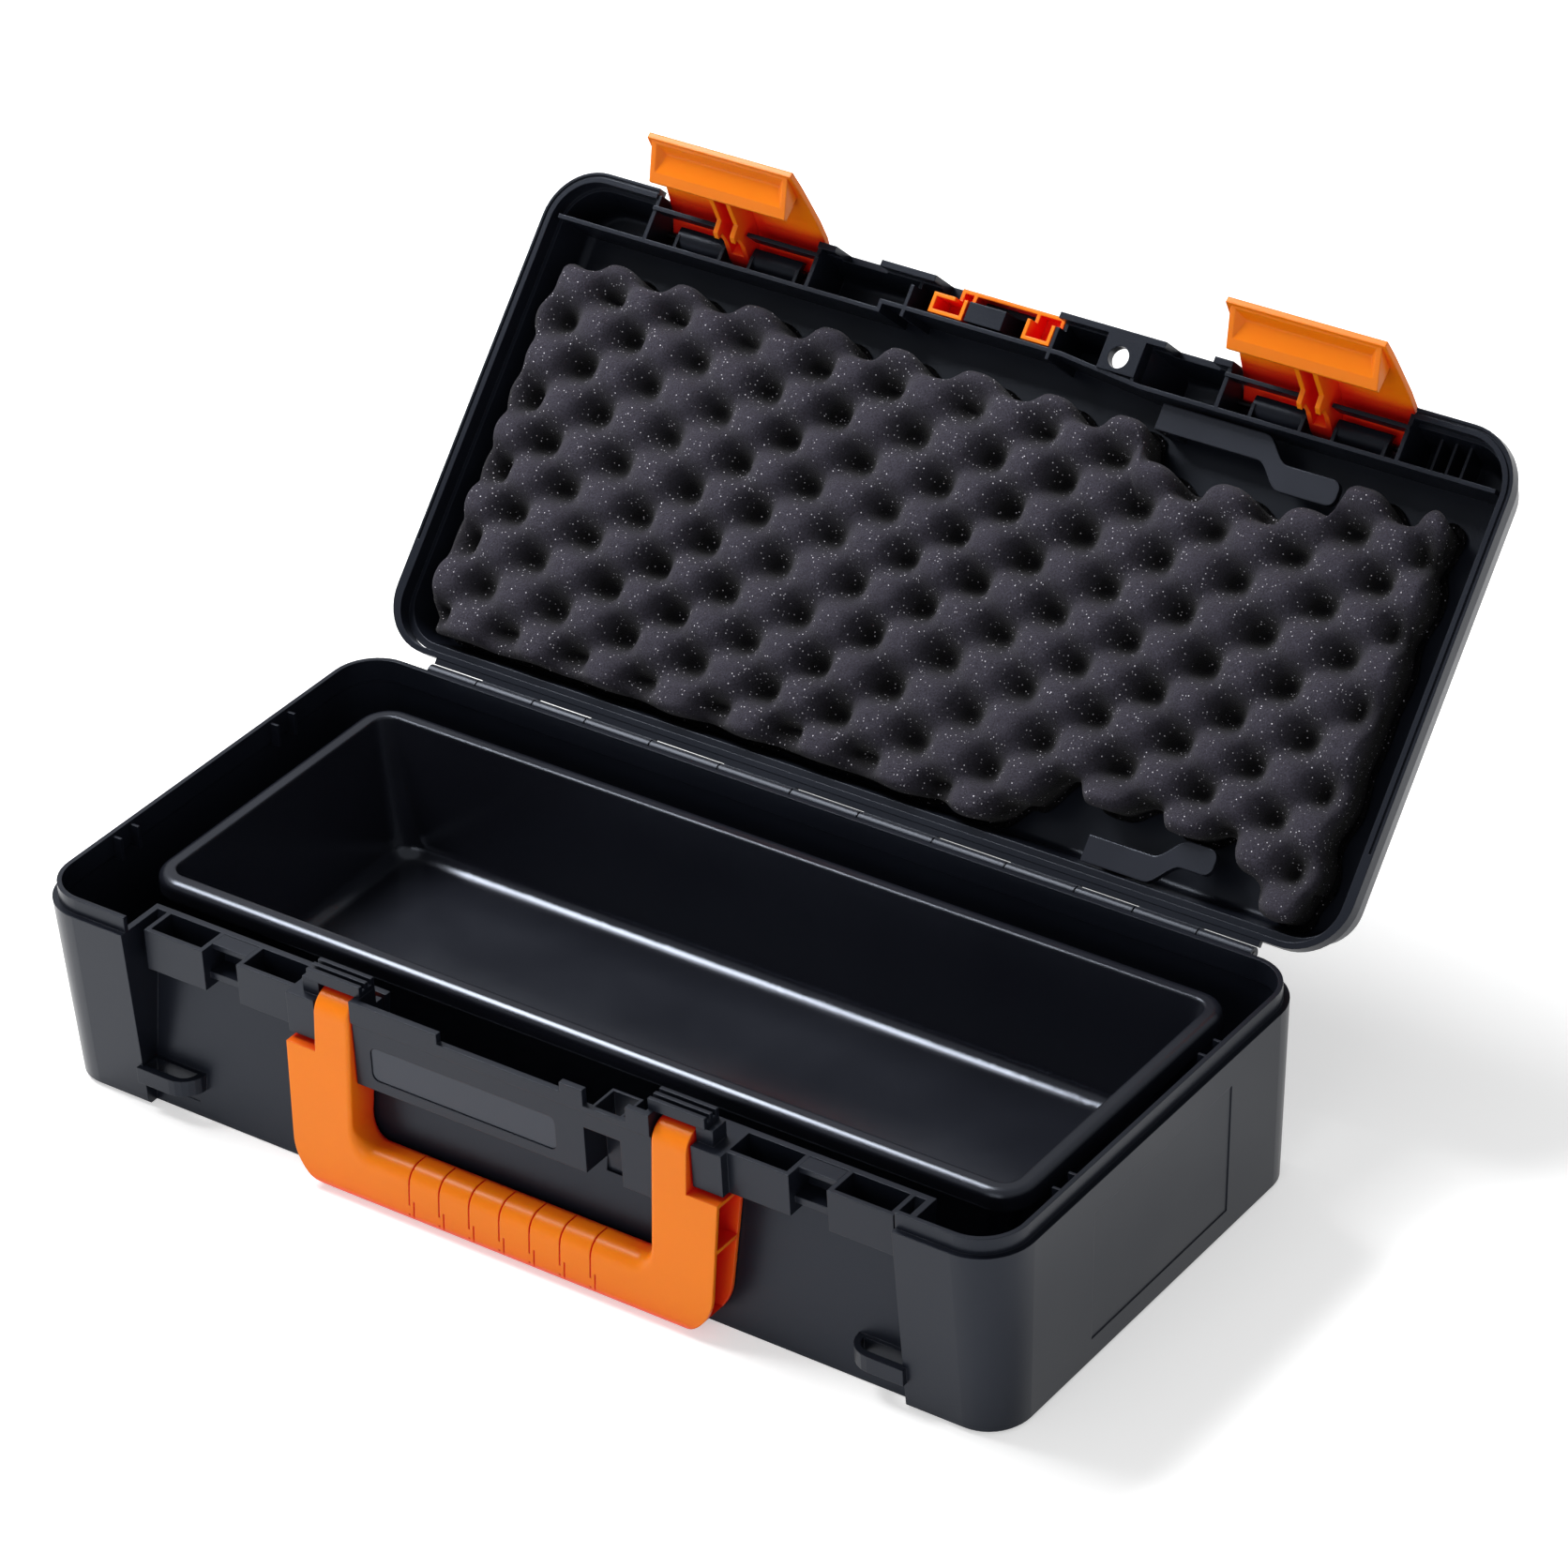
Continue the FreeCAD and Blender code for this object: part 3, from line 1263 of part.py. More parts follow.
def latches():
    for side, name in zip(both_sides, ("left", "right")):
        solid = fuse(latch_plate(side), latch_pocket(side), latch_web(side), *latch_ears(side))
        bore = rod(-d.latch_pivot_y, d.latch_pivot_z, d.latch_pin + d.running_clearance,
                   *side_span(side, d.bay_in, d.bay_out))
        latch = node("latch_" + name, cut(solid, bore))
        turned(latch, -value_of(d.latch_released), -d.latch_pivot_y, d.latch_pivot_z)
        lid_swing = FreeCAD.Placement(latch.Placement)
        opened(latch)
        latch.Placement = latch.Placement * lid_swing
        pin = rod(-d.latch_pivot_y, d.latch_pivot_z, d.latch_pin,
                  *side_span(side, d.bay_in + d.lid_rib / 2, d.bay_out - d.lid_rib / 2))
        opened_group("latch_pin_" + name, pin)


def opened_group(label, solid):
    """Carry a primitive with a bound place into the open lid, inside a group of one."""
    group = doc.addObject("Part::Compound", "Group")
    group.Links = [solid]
    return opened(node(label, group))


def lock_slide():
    """The sliding lock in the lid's front: two hollow legs round a guide, joined by a face plate."""
    low = lid_low + d.rail_rise
    top = d.slide_top
    wall = d.slide_wall
    behind_boss = -d.boss_front + d.base_wall + d.clearance
    face = -d.slide_face
    bridge = lip_top + d.clearance
    solid = [box((-d.slide_front_left, d.slide_right), (face, face + wall), (bridge, top))]
    spaces = []
    for inner, outer in ((-d.slide_left, -d.slide_inner_left), (d.slide_inner_right, d.slide_right)):
        solid.append(box((inner, outer), (behind_boss, -d.slide_back), (low, top)))
        spaces.append(box((inner + wall, outer - wall), (behind_boss + wall, -d.slide_back - wall),
                          (low - d.overrun, top - wall)))
    for inner, outer in ((-d.slide_front_left, -d.slide_inner_left), (d.slide_inner_right, d.slide_right)):
        solid.append(box((inner, outer), (face, behind_boss + wall), (bridge, top)))
        spaces.append(box((inner + wall, outer - wall), (face + wall, behind_boss + wall + d.overrun / 2),
                          (bridge - d.overrun, top - wall)))
    opened(node("lock_slide", cut(fuse(*solid), *spaces)))


def tool_clips():
    """The two springy arms in the lid's right half: a broad strip with a bend, on a foot."""
    rows = (("front", -1, d.front_clip_root, d.front_clip_bend, d.front_clip_tip, d.front_clip_y),
            ("rear", 1, d.rear_clip_root, d.rear_clip_bend, d.rear_clip_tip, d.rear_clip_y))
    slack = value_of(d.running_clearance)
    for name, way, root, bend, tip, edge in rows:
        def line(offset):
            near = (edge - offset) * way
            far = (edge - offset - d.clip_bend) * way
            step = d.clip_bend_length
            bow = []
            for i in range(BOW_STEPS + 1):
                ease = (1 - math.cos(math.pi * i / BOW_STEPS)) / 2
                bow.append((bend + step * (i / BOW_STEPS), near + (far - near) * ease))
            return [(root, near), *bow, (tip, far)]
        outer, inner = line(0 * edge), line(d.clip_width)
        high = d.clip_low + d.clip_thickness
        arm = prism("Z", outer + inner[::-1], d.clip_low, high)
        end = value_of(tip)
        arm = round_edges(arm, d.clip_tip_round, lambda e: all(abs(v.X - end) < slack for v in e.Vertexes)
                          and abs(e.tangentAt(e.FirstParameter).z) > 0.9)
        y = side_span(way, edge - d.clip_width, edge - d.clip_foot_inset)
        foot = box((root, root + d.clip_foot), y, (d.clip_low, lid_ceiling))
        opened(node("tool_clip_" + name, fuse(arm, foot)))


def tray():
    """The drawn pan: a drafted body with a rolled rim all round."""
    x, y = span(d.tray_half), (-d.tray_front, d.tray_back)

    def outline(end, side, radius, z):
        return ((x[0] + end, x[1] - end), (y[0] + side, y[1] - side), radius, z)
    none = 0 * d.tray_rim
    rim = rounded_block(outline(none, none, d.tray_corner, d.tray_top - d.tray_rim_drop),
                        outline(none, none, d.tray_corner, d.tray_top))
    rim = round_edges(rim, d.tray_rim_radius, level_at(d.tray_top))
    inner_r = d.tray_corner - d.tray_rim
    mouth = d.tray_rim
    bottom = d.tray_floor - d.tray_wall
    body = rounded_block(outline(mouth + d.tray_end_draft - d.tray_wall, mouth + d.tray_side_draft - d.tray_wall,
                                 inner_r + d.tray_wall + d.tray_fillet / 2, bottom),
                         outline(mouth - d.tray_wall, mouth - d.tray_wall, inner_r + d.tray_wall,
                                 d.tray_top - d.tray_wall))
    body = round_edges(body, d.tray_fillet, level_at(bottom))
    under = ring_under_rim(outline)
    space = rounded_block(outline(mouth + d.tray_end_draft, mouth + d.tray_side_draft,
                                  inner_r + d.tray_fillet / 2, d.tray_floor),
                          outline(mouth, mouth, inner_r, d.tray_top + none),
                          outline(mouth, mouth, inner_r, d.tray_top + d.overrun))
    space = round_edges(space, d.tray_fillet - d.tray_wall, level_at(d.tray_floor))
    node("tray", cut(fuse(cut(rim, under), body), space))


def ring_under_rim(outline):
    """The hollow under the rolled rim, which leaves a skin of the pan's thickness."""
    wall = d.tray_wall
    low = d.tray_top - d.tray_rim_drop - d.overrun
    top = d.tray_top - wall
    return rounded_block(outline(wall, wall, d.tray_corner - wall, low),
                         outline(wall, wall, d.tray_corner - wall, top))


def lid_foam():
    """The convoluted foam sheet glued into the lid, cut out round the tool clips."""
    x = (-d.foam_left, d.foam_right)
    y = (-d.foam_front, d.foam_back)
    back = lid_ceiling - d.soft_gap
    inset = d.foam_taper
    back_x, back_y = (x[0] + inset, x[1] - inset), (y[0] + inset, y[1] - inset)
    pad = rounded_block((x, y, d.foam_corner, (d.foam_crest + d.foam_valley) / 2),
                        (back_x, back_y, d.foam_corner, back))
    opened(node("lid_foam", cut(cut(pad, *foam_cutouts()), *foam_pits(x, y))))


def foam_pits(x, y):
    """Round pits in rows, each row half a pitch on from its neighbours, wherever the sheet has room."""
    def steps(limits, first, pitch):
        """Every half pitch from the first pit's place that lies between the limits."""
        low, high = [value_of(limit - first) / value_of(pitch) * 2 for limit in limits]
        return range(math.ceil(low), math.floor(high) + 1)
    pits = []
    for i in steps(x, d.foam_first_pit_x, d.foam_pitch_along):
        for j in steps(y, d.foam_first_pit_y, d.foam_pitch_across):
            if (i + j) % 2:
                continue
            pit = doc.addObject("Part::Sphere", "Pit")
            bind(pit, "Radius", d.pit_radius)
            bind(pit, "Placement.Base.x", d.foam_first_pit_x + d.foam_pitch_along * (i / 2))
            bind(pit, "Placement.Base.y", d.foam_first_pit_y + d.foam_pitch_across * (j / 2))
            bind(pit, "Placement.Base.z", d.foam_crest + d.pit_depth - d.pit_radius)
            pits.append(pit)
    return pits


def foam_cutouts():
    """The two open notches that leave room for the tool clips."""
    cuts = []
    rows = ((-1, d.front_cut_left, d.front_cut_right, d.front_cut_y, d.foam_front, d.front_cut_slope),
            (1, d.rear_cut_left, d.rear_cut_right, d.rear_cut_y, d.foam_back, d.rear_cut_slope))
    for way, left, right, inner, outer, slope in rows:
        far = (outer + d.overrun) * way
        points = [(left, far), (left, outer * way), (left + slope, inner * way), (right - slope, inner * way),
                  (right, outer * way), (right, far)]
        cuts.append(prism("Z", points, d.foam_crest - d.overrun, lid_top))
    return cuts


base_shell()
keepers()
name_insert()
hinge_pin()
handle_parts()
tray()
lid_shell()
lid_foam()
tool_clips()
lock_slide()
latches()
doc.recompute()

faulty = [thing.Label for thing in doc.Objects if "Invalid" in thing.State or "Error" in thing.State]
for solid in nodes:
    if solid.Shape.isNull() or not solid.Shape.isValid():
        faulty.append(solid.Label)
if faulty:
    raise RuntimeError("not built: " + ", ".join(faulty))

os.makedirs("parts", exist_ok=True)
for solid in nodes:
    solid.Shape.exportStep("parts/%s.step" % solid.Label)
    print("%-18s solids %d  volume %9.0f mm3" % (solid.Label, len(solid.Shape.Solids), solid.Shape.Volume))
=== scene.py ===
import bpy
import math
import numpy as np
from mathutils import Matrix


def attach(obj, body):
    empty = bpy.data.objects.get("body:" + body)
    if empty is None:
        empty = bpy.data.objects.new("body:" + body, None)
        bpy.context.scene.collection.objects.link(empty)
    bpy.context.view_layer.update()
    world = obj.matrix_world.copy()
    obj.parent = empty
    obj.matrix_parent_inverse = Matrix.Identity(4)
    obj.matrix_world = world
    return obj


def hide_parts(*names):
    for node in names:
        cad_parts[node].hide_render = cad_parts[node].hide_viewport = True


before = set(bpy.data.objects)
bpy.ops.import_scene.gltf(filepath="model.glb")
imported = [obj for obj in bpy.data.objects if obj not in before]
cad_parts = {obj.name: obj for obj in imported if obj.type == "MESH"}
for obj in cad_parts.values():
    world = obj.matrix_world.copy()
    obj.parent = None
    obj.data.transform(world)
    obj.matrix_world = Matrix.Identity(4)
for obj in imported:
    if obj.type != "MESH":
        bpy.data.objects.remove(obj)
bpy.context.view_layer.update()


# Base shell, keepers and handle covers: satin black polypropylene, moulded in a spark-eroded
# tool, so the skin has a fine even grain and every edge a small radius. The keepers and the
# ribbed covers over the handle's arms are moulded on with it.
NOISE_LOW, NOISE_HIGH = 0.3, 0.7        # nearly all of a noise texture's values lie between these
CLOUDS_PER_METRE, CLOUD_RUB = 14.0, 0.04
PLAIN, COOL = (1.0, 1.0, 1.0), (0.76, 0.84, 1.0)


class Wires:
    """Short ways to add nodes to a node tree, to join sockets, and to sum or remap values."""

    def __init__(self, tree):
        self.tree = tree

    def add(self, kind, **values):
        """A node of a kind; each value goes to its property, or its socket, of that name."""
        made = self.tree.nodes.new("ShaderNode" + kind)
        for key, value in values.items():
            if hasattr(made, key):
                setattr(made, key, value)
            else:
                made.inputs[key.replace("_", " ")].default_value = value
        return made

    def join(self, source, target):
        """A link from an output socket to an input socket."""
        self.tree.links.new(source, target)

    def work(self, operation, first, second):
        """A Math node on a socket and on a second socket or number."""
        made = self.add("Math", operation=operation)
        self.join(first, made.inputs[0])
        if isinstance(second, float):
            made.inputs[1].default_value = second
        else:
            self.join(second, made.inputs[1])
        return made.outputs["Value"]

    def remap(self, source, low, high, to_low=0.0, to_high=1.0, **options):
        """A Map Range node that brings low to to_low and high to to_high."""
        made = self.add("MapRange", From_Min=low, From_Max=high, To_Min=to_low, To_Max=to_high,
                        **options)
        self.join(source, made.inputs["Value"])
        return made.outputs["Result"]


def new_material(name):
    """A material with its Principled shader and its wires."""
    material = bpy.data.materials.new(name)
    material.use_nodes = True
    tree = material.node_tree
    return material, tree.nodes["Principled BSDF"], Wires(tree)


def moulded(name, colour, roughness, specular, grain, depth, edge=0.0005, patch=0.10, sheen=COOL):
    """Moulded plastic: base colour with faint cloudy patches, grain as bump, softened edges.

    grain is the size of one grain in metres and depth its height, edge is the radius that
    corners are shaded with, patch the share that the colour wanders, and sheen tints highlights.
    """
    material, shader, wires = new_material(name)
    place = wires.add("TexCoord").outputs["Object"]
    clouds = wires.add("TexNoise", Scale=CLOUDS_PER_METRE, Detail=3.0)
    wires.join(place, clouds.inputs["Vector"])
    tint = wires.add("VectorMath", operation="SCALE")
    tint.inputs[0].default_value = colour
    shade = wires.remap(clouds.outputs["Fac"], NOISE_LOW, NOISE_HIGH, 1 - patch, 1 + patch)
    wires.join(shade, tint.inputs["Scale"])
    wires.join(tint.outputs["Vector"], shader.inputs["Base Color"])
    rub = wires.remap(clouds.outputs["Fac"], NOISE_LOW, NOISE_HIGH,
                      roughness - CLOUD_RUB, roughness + CLOUD_RUB)
    wires.join(rub, shader.inputs["Roughness"])
    shader.inputs["Specular IOR Level"].default_value = specular
    shader.inputs["Specular Tint"].default_value = (*sheen, 1)
    fine = wires.add("TexNoise", Scale=1 / grain, Detail=2.0, Roughness=0.6)
    wires.join(place, fine.inputs["Vector"])
    soft = wires.add("Bevel", samples=4, Radius=edge)
    bump = wires.add("Bump", Strength=1.0, Distance=depth)
    wires.join(fine.outputs["Fac"], bump.inputs["Height"])
    wires.join(soft.outputs["Normal"], bump.inputs["Normal"])
    wires.join(bump.outputs["Normal"], shader.inputs["Normal"])
    return material


def dress(material, *names):
    """Give a material to every slot of these CAD nodes."""
    for name in names:
        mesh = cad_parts[name].data
        mesh.materials.clear()
        mesh.materials.append(material)


case_black = moulded("case_black", (0.0066, 0.0079, 0.0127), roughness=0.32, specular=0.27,
                     grain=0.0007, depth=0.00003)
dress(case_black, "base_shell", "latch_keeper_left", "latch_keeper_right",
      "handle_cap_left", "handle_cap_right")


# Name insert: a bare slip of smooth black plastic pressed into the sunk field of the apron. It
# is a shade paler than the shell round it.
insert_black = moulded("insert_black", (0.013, 0.015, 0.022), roughness=0.30, specular=0.40,
                       grain=0.002, depth=0.00001, edge=0.0002)
dress(insert_black, "name_insert")


# Hinge pin, handle pins and latch pins: drawn steel wire, blackened and cut to length. Each one
# runs along X, and so do the fine lines that the drawing left on it.
WIRE_LINES = (20, 3000, 3000)           # waves per metre along X, Y and Z
WIRE_ROUGHNESS = 0.22, 0.42
BLACKENED = (0.06, 0.06, 0.065, 1)


def drawn_wire(name):
    """Steel with fine lines along the wire's length, which runs along X."""
    material, shader, wires = new_material(name)
    stretch = wires.add("Mapping", Scale=WIRE_LINES)
    lines = wires.add("TexNoise", Scale=1.0, Detail=2.0)
    wires.join(wires.add("TexCoord").outputs["Object"], stretch.inputs["Vector"])
    wires.join(stretch.outputs["Vector"], lines.inputs["Vector"])
    rub = wires.remap(lines.outputs["Fac"], 0.0, 1.0, *WIRE_ROUGHNESS)
    wires.join(rub, shader.inputs["Roughness"])
    shader.inputs["Base Color"].default_value = BLACKENED
    shader.inputs["Metallic"].default_value = 1.0
    return material


dress(drawn_wire("pin_steel"), "hinge_pin", "handle_pin_left", "handle_pin_right",
      "latch_pin_left", "latch_pin_right")


# Handle, latches and lock slide: orange polypropylene, satin outside and a little see-through.
# Hollow places get painted shade: their colour is mixed towards a deeper red where an occlusion mask
# finds them hemmed in.
# the colour of the painted shade in hollows
PAINTED_SHADE_RED = (0.88, 0.012, 0.010, 1)
PAINTED_SHADE_REACH = 0.028                    # how far off a wall still makes a place count as hollow, for the painted shade
PAINTED_SHADE_SHUT, PAINTED_SHADE_OPEN = 0.30, 0.70   # shares of open surroundings: painted red shade below, orange above
RED_TRAVELS = (1.0, 0.15, 0.02)         # how far red, green and blue light goes through, by share


def paint_hollow_shade(material):
    """Mix painted red shade into a plastic's colour where it is hemmed in, and let light through a
    little.
    """
    shader, wires = material.node_tree.nodes["Principled BSDF"], Wires(material.node_tree)
    # Painted shade: an occlusion mask mixes deep red into the colour in hollows.
    shade_mask = wires.add("AmbientOcclusion", samples=6, Distance=PAINTED_SHADE_REACH)
    painted_shade_mix = wires.add("Mix", data_type="RGBA")
    painted_shade_mix.inputs["A"].default_value = PAINTED_SHADE_RED
    wires.join(wires.remap(shade_mask.outputs["AO"], PAINTED_SHADE_SHUT, PAINTED_SHADE_OPEN), painted_shade_mix.inputs["Factor"])
    wires.join(shader.inputs["Base Color"].links[0].from_socket, painted_shade_mix.inputs["B"])
    wires.join(painted_shade_mix.outputs["Result"], shader.inputs["Base Color"])
    shader.inputs["Subsurface Weight"].default_value = 0.15
    shader.inputs["Subsurface Radius"].default_value = RED_TRAVELS
    shader.inputs["Subsurface Scale"].default_value = 0.003


orange = moulded("orange", (0.88, 0.208, 0.003), roughness=0.33, specular=0.20,
                 grain=0.0015, depth=0.00002, edge=0.0009, patch=0.03, sheen=PLAIN)
paint_hollow_shade(orange)
dress(orange, "handle", "latch_left", "latch_right", "lock_slide")


# Tray: a pan drawn from glossy black sheet, smooth enough to mirror the lamps as long lines
# along its rim and its bends.
tray_black = moulded("tray_black", (0.0080, 0.0088, 0.0130), roughness=0.20, specular=0.75,
                     grain=0.004, depth=0.000004, edge=0.0016)
dress(tray_black, "tray")


# Lid shell and tool clips: the lid is the same plastic as the base, and its springy clips are
# smoother and a shade paler.
dress(case_black, "lid_shell")
clip_black = moulded("clip_black", (0.012, 0.013, 0.019), roughness=0.25, specular=0.6,
                     grain=0.003, depth=0.00001, edge=0.0008)
dress(clip_black, "tool_clip_front", "tool_clip_rear")


# Foam sheet: convoluted polyurethane foam, cut so that round pits lie in staggered rows, glued
# into the lid and notched round the two tool clips, with its outer edge left wavy. Its sizes
# and places are those in the shut lid, in metres.
HINGE_Y, HINGE_Z, LID_SWING = 0.1102, 0.0813, math.radians(133)
FOAM_LEFT, FOAM_RIGHT = -0.2161, 0.2080
FOAM_FRONT, FOAM_BACK = -0.0720, 0.0960
FOAM_CREST, FOAM_PIT, FOAM_SEAT = 0.0822, 0.0150, 0.1055    # the crests' and the seat's height
FOAM_CORNER = 0.012
FRONT_NOTCH, FRONT_SLOPES = 0.0140, ((0.0685, 0.0750), (0.1550, 0.1615))
BACK_NOTCH, BACK_SLOPES = 0.0200, ((0.066, 0.090), (0.164, 0.188))

PIT_PITCH_X, PIT_PITCH_Y = 0.0353, 0.0326
PIT_START_X, PIT_START_Y = 0.0057, 0.0244
PIT_TIGHTNESS = 1.9
ROW_SHEAR, ROW_SHEAR_FROM, FILE_SHEAR = 0.035, 0.004, 0.0125
LONG_SWAY, CROSS_SWAY = 0.0010, 0.0008
DEPTH_MEAN, DEPTH_SWELL, DEPTH_SAG = 0.93, 0.09, 0.05
ROW_WAVE, ROW_CROSS = (0, 41), (67, 29)         # slow waves, in radians per metre along X and Y
FILE_WAVE, FILE_CROSS, FILE_PHASE = (37, 0), (-23, 71), 1.3
WEAVE, WEAVE_TURN = (17, 0), 3.1
SWELL_WAVE, SAG_WAVE = (53, 31), (19, -47)

ROLL_HEIGHT, ROLL_WIDTH = 0.0040, 0.004         # how the cut rim rolls down
SCALLOP_SHARE, SCALLOP_WIDTH = 0.6, 0.016       # how the side is drawn in beside a pit
TAPER_X, TAPER_Y = 0.012, 0.03                  # how much smaller the sheet is at its seat
SHEET_COLUMNS, SHEET_ROWS = 306, 122
RIM_STEPS = np.array([1.0, 0.62, 0.3])          # how far down the side the outermost lines lie


def open_lid(points):
    """Turn points drawn in the shut lid about the hinge, to where the open lid rests."""
    y, z = points[..., 1] - HINGE_Y, points[..., 2] - HINGE_Z
    c, s = math.cos(LID_SWING), math.sin(LID_SWING)
    turned = points.copy()
    turned[..., 1] = HINGE_Y + y * c + z * s
    turned[..., 2] = HINGE_Z - y * s + z * c
    return turned


def between(x, start, end):
    """0 before start, 1 after end, and the cosine-eased rise between them."""
    t = np.clip((x - start) / (end - start), 0, 1)
    return (1 - np.cos(math.pi * t)) / 2


def notch(x, slope_in, slope_out):
    """1 inside a notch and 0 outside it, with an eased slope at either end."""
    return between(x, *slope_in) - between(x, *slope_out)


def foam_rows(x):
    """The front and back edges' Y over X: straight, drawn in at the round corners and notched."""
    near = np.minimum(x - FOAM_LEFT, FOAM_RIGHT - x)
    gone = np.clip(FOAM_CORNER - near, 0, FOAM_CORNER)
    round_in = FOAM_CORNER - np.sqrt(np.maximum(FOAM_CORNER ** 2 - gone ** 2, 0))
    front = FOAM_FRONT + round_in + FRONT_NOTCH * notch(x, *FRONT_SLOPES)
    back = FOAM_BACK - round_in - BACK_NOTCH * notch(x, *BACK_SLOPES)
    return front, back


def ripple(x, y, turns, phase=0.0):
    """A sine wave over the sheet, with its turns in radians per metre along X and Y."""
    return np.sin(turns[0] * x + turns[1] * y + phase)


def foam_depth(x, y):
    """Depth below the crests: the product of two cosines, eased so that pits are tighter than ridges.

    depth = FOAM_PIT * ((cos(2 pi sx / pitch_x) * cos(2 pi sy / pitch_y) + 1) / 2) ** tightness.
    Slow sine waves shift the pits in sx and sy and change their depth, as a sawn sheet has.
    """
    sway_x = LONG_SWAY * ripple(x, y, ROW_WAVE, WEAVE_TURN * ripple(x, y, WEAVE))
    sway_x = sway_x + CROSS_SWAY * ripple(x, y, ROW_CROSS)
    sway_y = LONG_SWAY * ripple(x, y, FILE_WAVE, FILE_PHASE) + CROSS_SWAY * ripple(x, y, FILE_CROSS)
    sx = x + ROW_SHEAR * (y - ROW_SHEAR_FROM) + sway_x - PIT_START_X
    sy = y - FILE_SHEAR * x + sway_y - PIT_START_Y
    wave = np.cos(2 * math.pi * sx / PIT_PITCH_X) * np.cos(2 * math.pi * sy / PIT_PITCH_Y)
    deep = ((wave + 1) / 2) ** PIT_TIGHTNESS
    uneven = DEPTH_MEAN + DEPTH_SWELL * ripple(x, y, SWELL_WAVE) + DEPTH_SAG * ripple(x, y, SAG_WAVE)
    return FOAM_PIT * deep * uneven


def sheet_lines(count):
    """Where the lines of a sheet lie, from 0 to 1, and how far down the side each one is."""
    rim = len(RIM_STEPS)
    place = np.concatenate([np.zeros(rim), np.linspace(0, 1, count - 2 * rim), np.ones(rim)])
    down = np.concatenate([RIM_STEPS, np.zeros(count - 2 * rim), RIM_STEPS[::-1]])
    return place, down


def closed_faces(columns, rows):
    """Quads of a grid of points, of the same grid behind it, and of the wall that joins them."""
    back = columns * rows
    index = np.arange(back).reshape(columns, rows)
    a, b, c, d = index[:-1, :-1], index[1:, :-1], index[1:, 1:], index[:-1, 1:]
    front = np.stack([d, c, b, a], -1).reshape(-1, 4)
    seat = np.stack([a, b, c, d], -1).reshape(-1, 4) + back
    ring = np.concatenate([index[:-1, 0], index[-1, :-1], index[:0:-1, -1], index[0, :0:-1]])
    after = np.roll(ring, -1)
    wall = np.stack([ring, after, after + back, ring + back], -1)
    return np.concatenate([front, seat, wall])


def foam_sheet(columns, rows):
    """A height field over the notched outline, its rim rolled down to the seat, and a flat back.

    Beside a pit the side is drawn in by a share of the pit's depth. The outermost lines stay on
    the outline and step down the side, each a little further in.
    """
    u, down_u = sheet_lines(columns)
    v, down_v = sheet_lines(rows)
    x = FOAM_LEFT + (FOAM_RIGHT - FOAM_LEFT) * u
    front, back = foam_rows(x)
    y = front[:, None] + (back - front)[:, None] * v[None, :]
    x = np.repeat(x[:, None], rows, 1)
    sides = [x - FOAM_LEFT, FOAM_RIGHT - x, y - front[:, None], back[:, None] - y]
    pits = foam_depth(x, y)
    roll = ROLL_HEIGHT * np.clip(1 - np.minimum.reduce(sides) / ROLL_WIDTH, 0, 1) ** 2
    face = FOAM_CREST + pits + roll
    left, right, near, far = [SCALLOP_SHARE * pits * np.clip(1 - side / SCALLOP_WIDTH, 0, 1)
                              for side in sides]
    x, y = x + left - right, y + near - far
    down = np.maximum(down_u[:, None], down_v[None, :])
    z = face + (FOAM_SEAT - face) * down
    middle_x, middle_y = (FOAM_LEFT + FOAM_RIGHT) / 2, (FOAM_FRONT + FOAM_BACK) / 2
    top = np.stack([middle_x + (x - middle_x) * (1 - TAPER_X * down),
                    middle_y + (y - middle_y) * (1 - TAPER_Y * down), z], -1)
    flat = top.copy()
    flat[..., 2] = FOAM_SEAT
    points = np.concatenate([top.reshape(-1, 3), flat.reshape(-1, 3)])
    depth = np.concatenate([(z - FOAM_CREST).ravel() / FOAM_PIT, np.ones(columns * rows)])
    return open_lid(points), closed_faces(columns, rows), depth


def mesh_piece(name, points, faces, material, body):
    """Put worked-out points and faces into a new smooth mesh that rides on a body."""
    mesh = bpy.data.meshes.new(name)
    mesh.from_pydata(points.tolist(), [], faces.tolist())
    mesh.polygons.foreach_set("use_smooth", np.ones(len(mesh.polygons), bool))
    mesh.materials.append(material)
    mesh.update()
    piece = bpy.data.objects.new(name, mesh)
    bpy.context.scene.collection.objects.link(piece)
    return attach(piece, body)


# Colour on the crests, and the painted shade at the bottom of the pits: the colour darkens with
# depth.
RIDGE_COLOUR, PIT_PAINTED_SHADE = (0.0390, 0.0360, 0.0510, 1), (0.003, 0.0028, 0.004, 1)
PIT_SHADE_FULL_FROM = 0.70                    # the share of a pit's depth where the painted shade is at its darkest
CELLS_PER_METRE, CELL_DARK, CELL_PALE = 1400.0, 0.45, 1.55
SPECKS_PER_METRE, SPECK_SIZE, SPECK_RARITY = 780.0, 0.20, 0.60
SPECK_COLOUR = (0.85, 0.83, 0.92, 1)


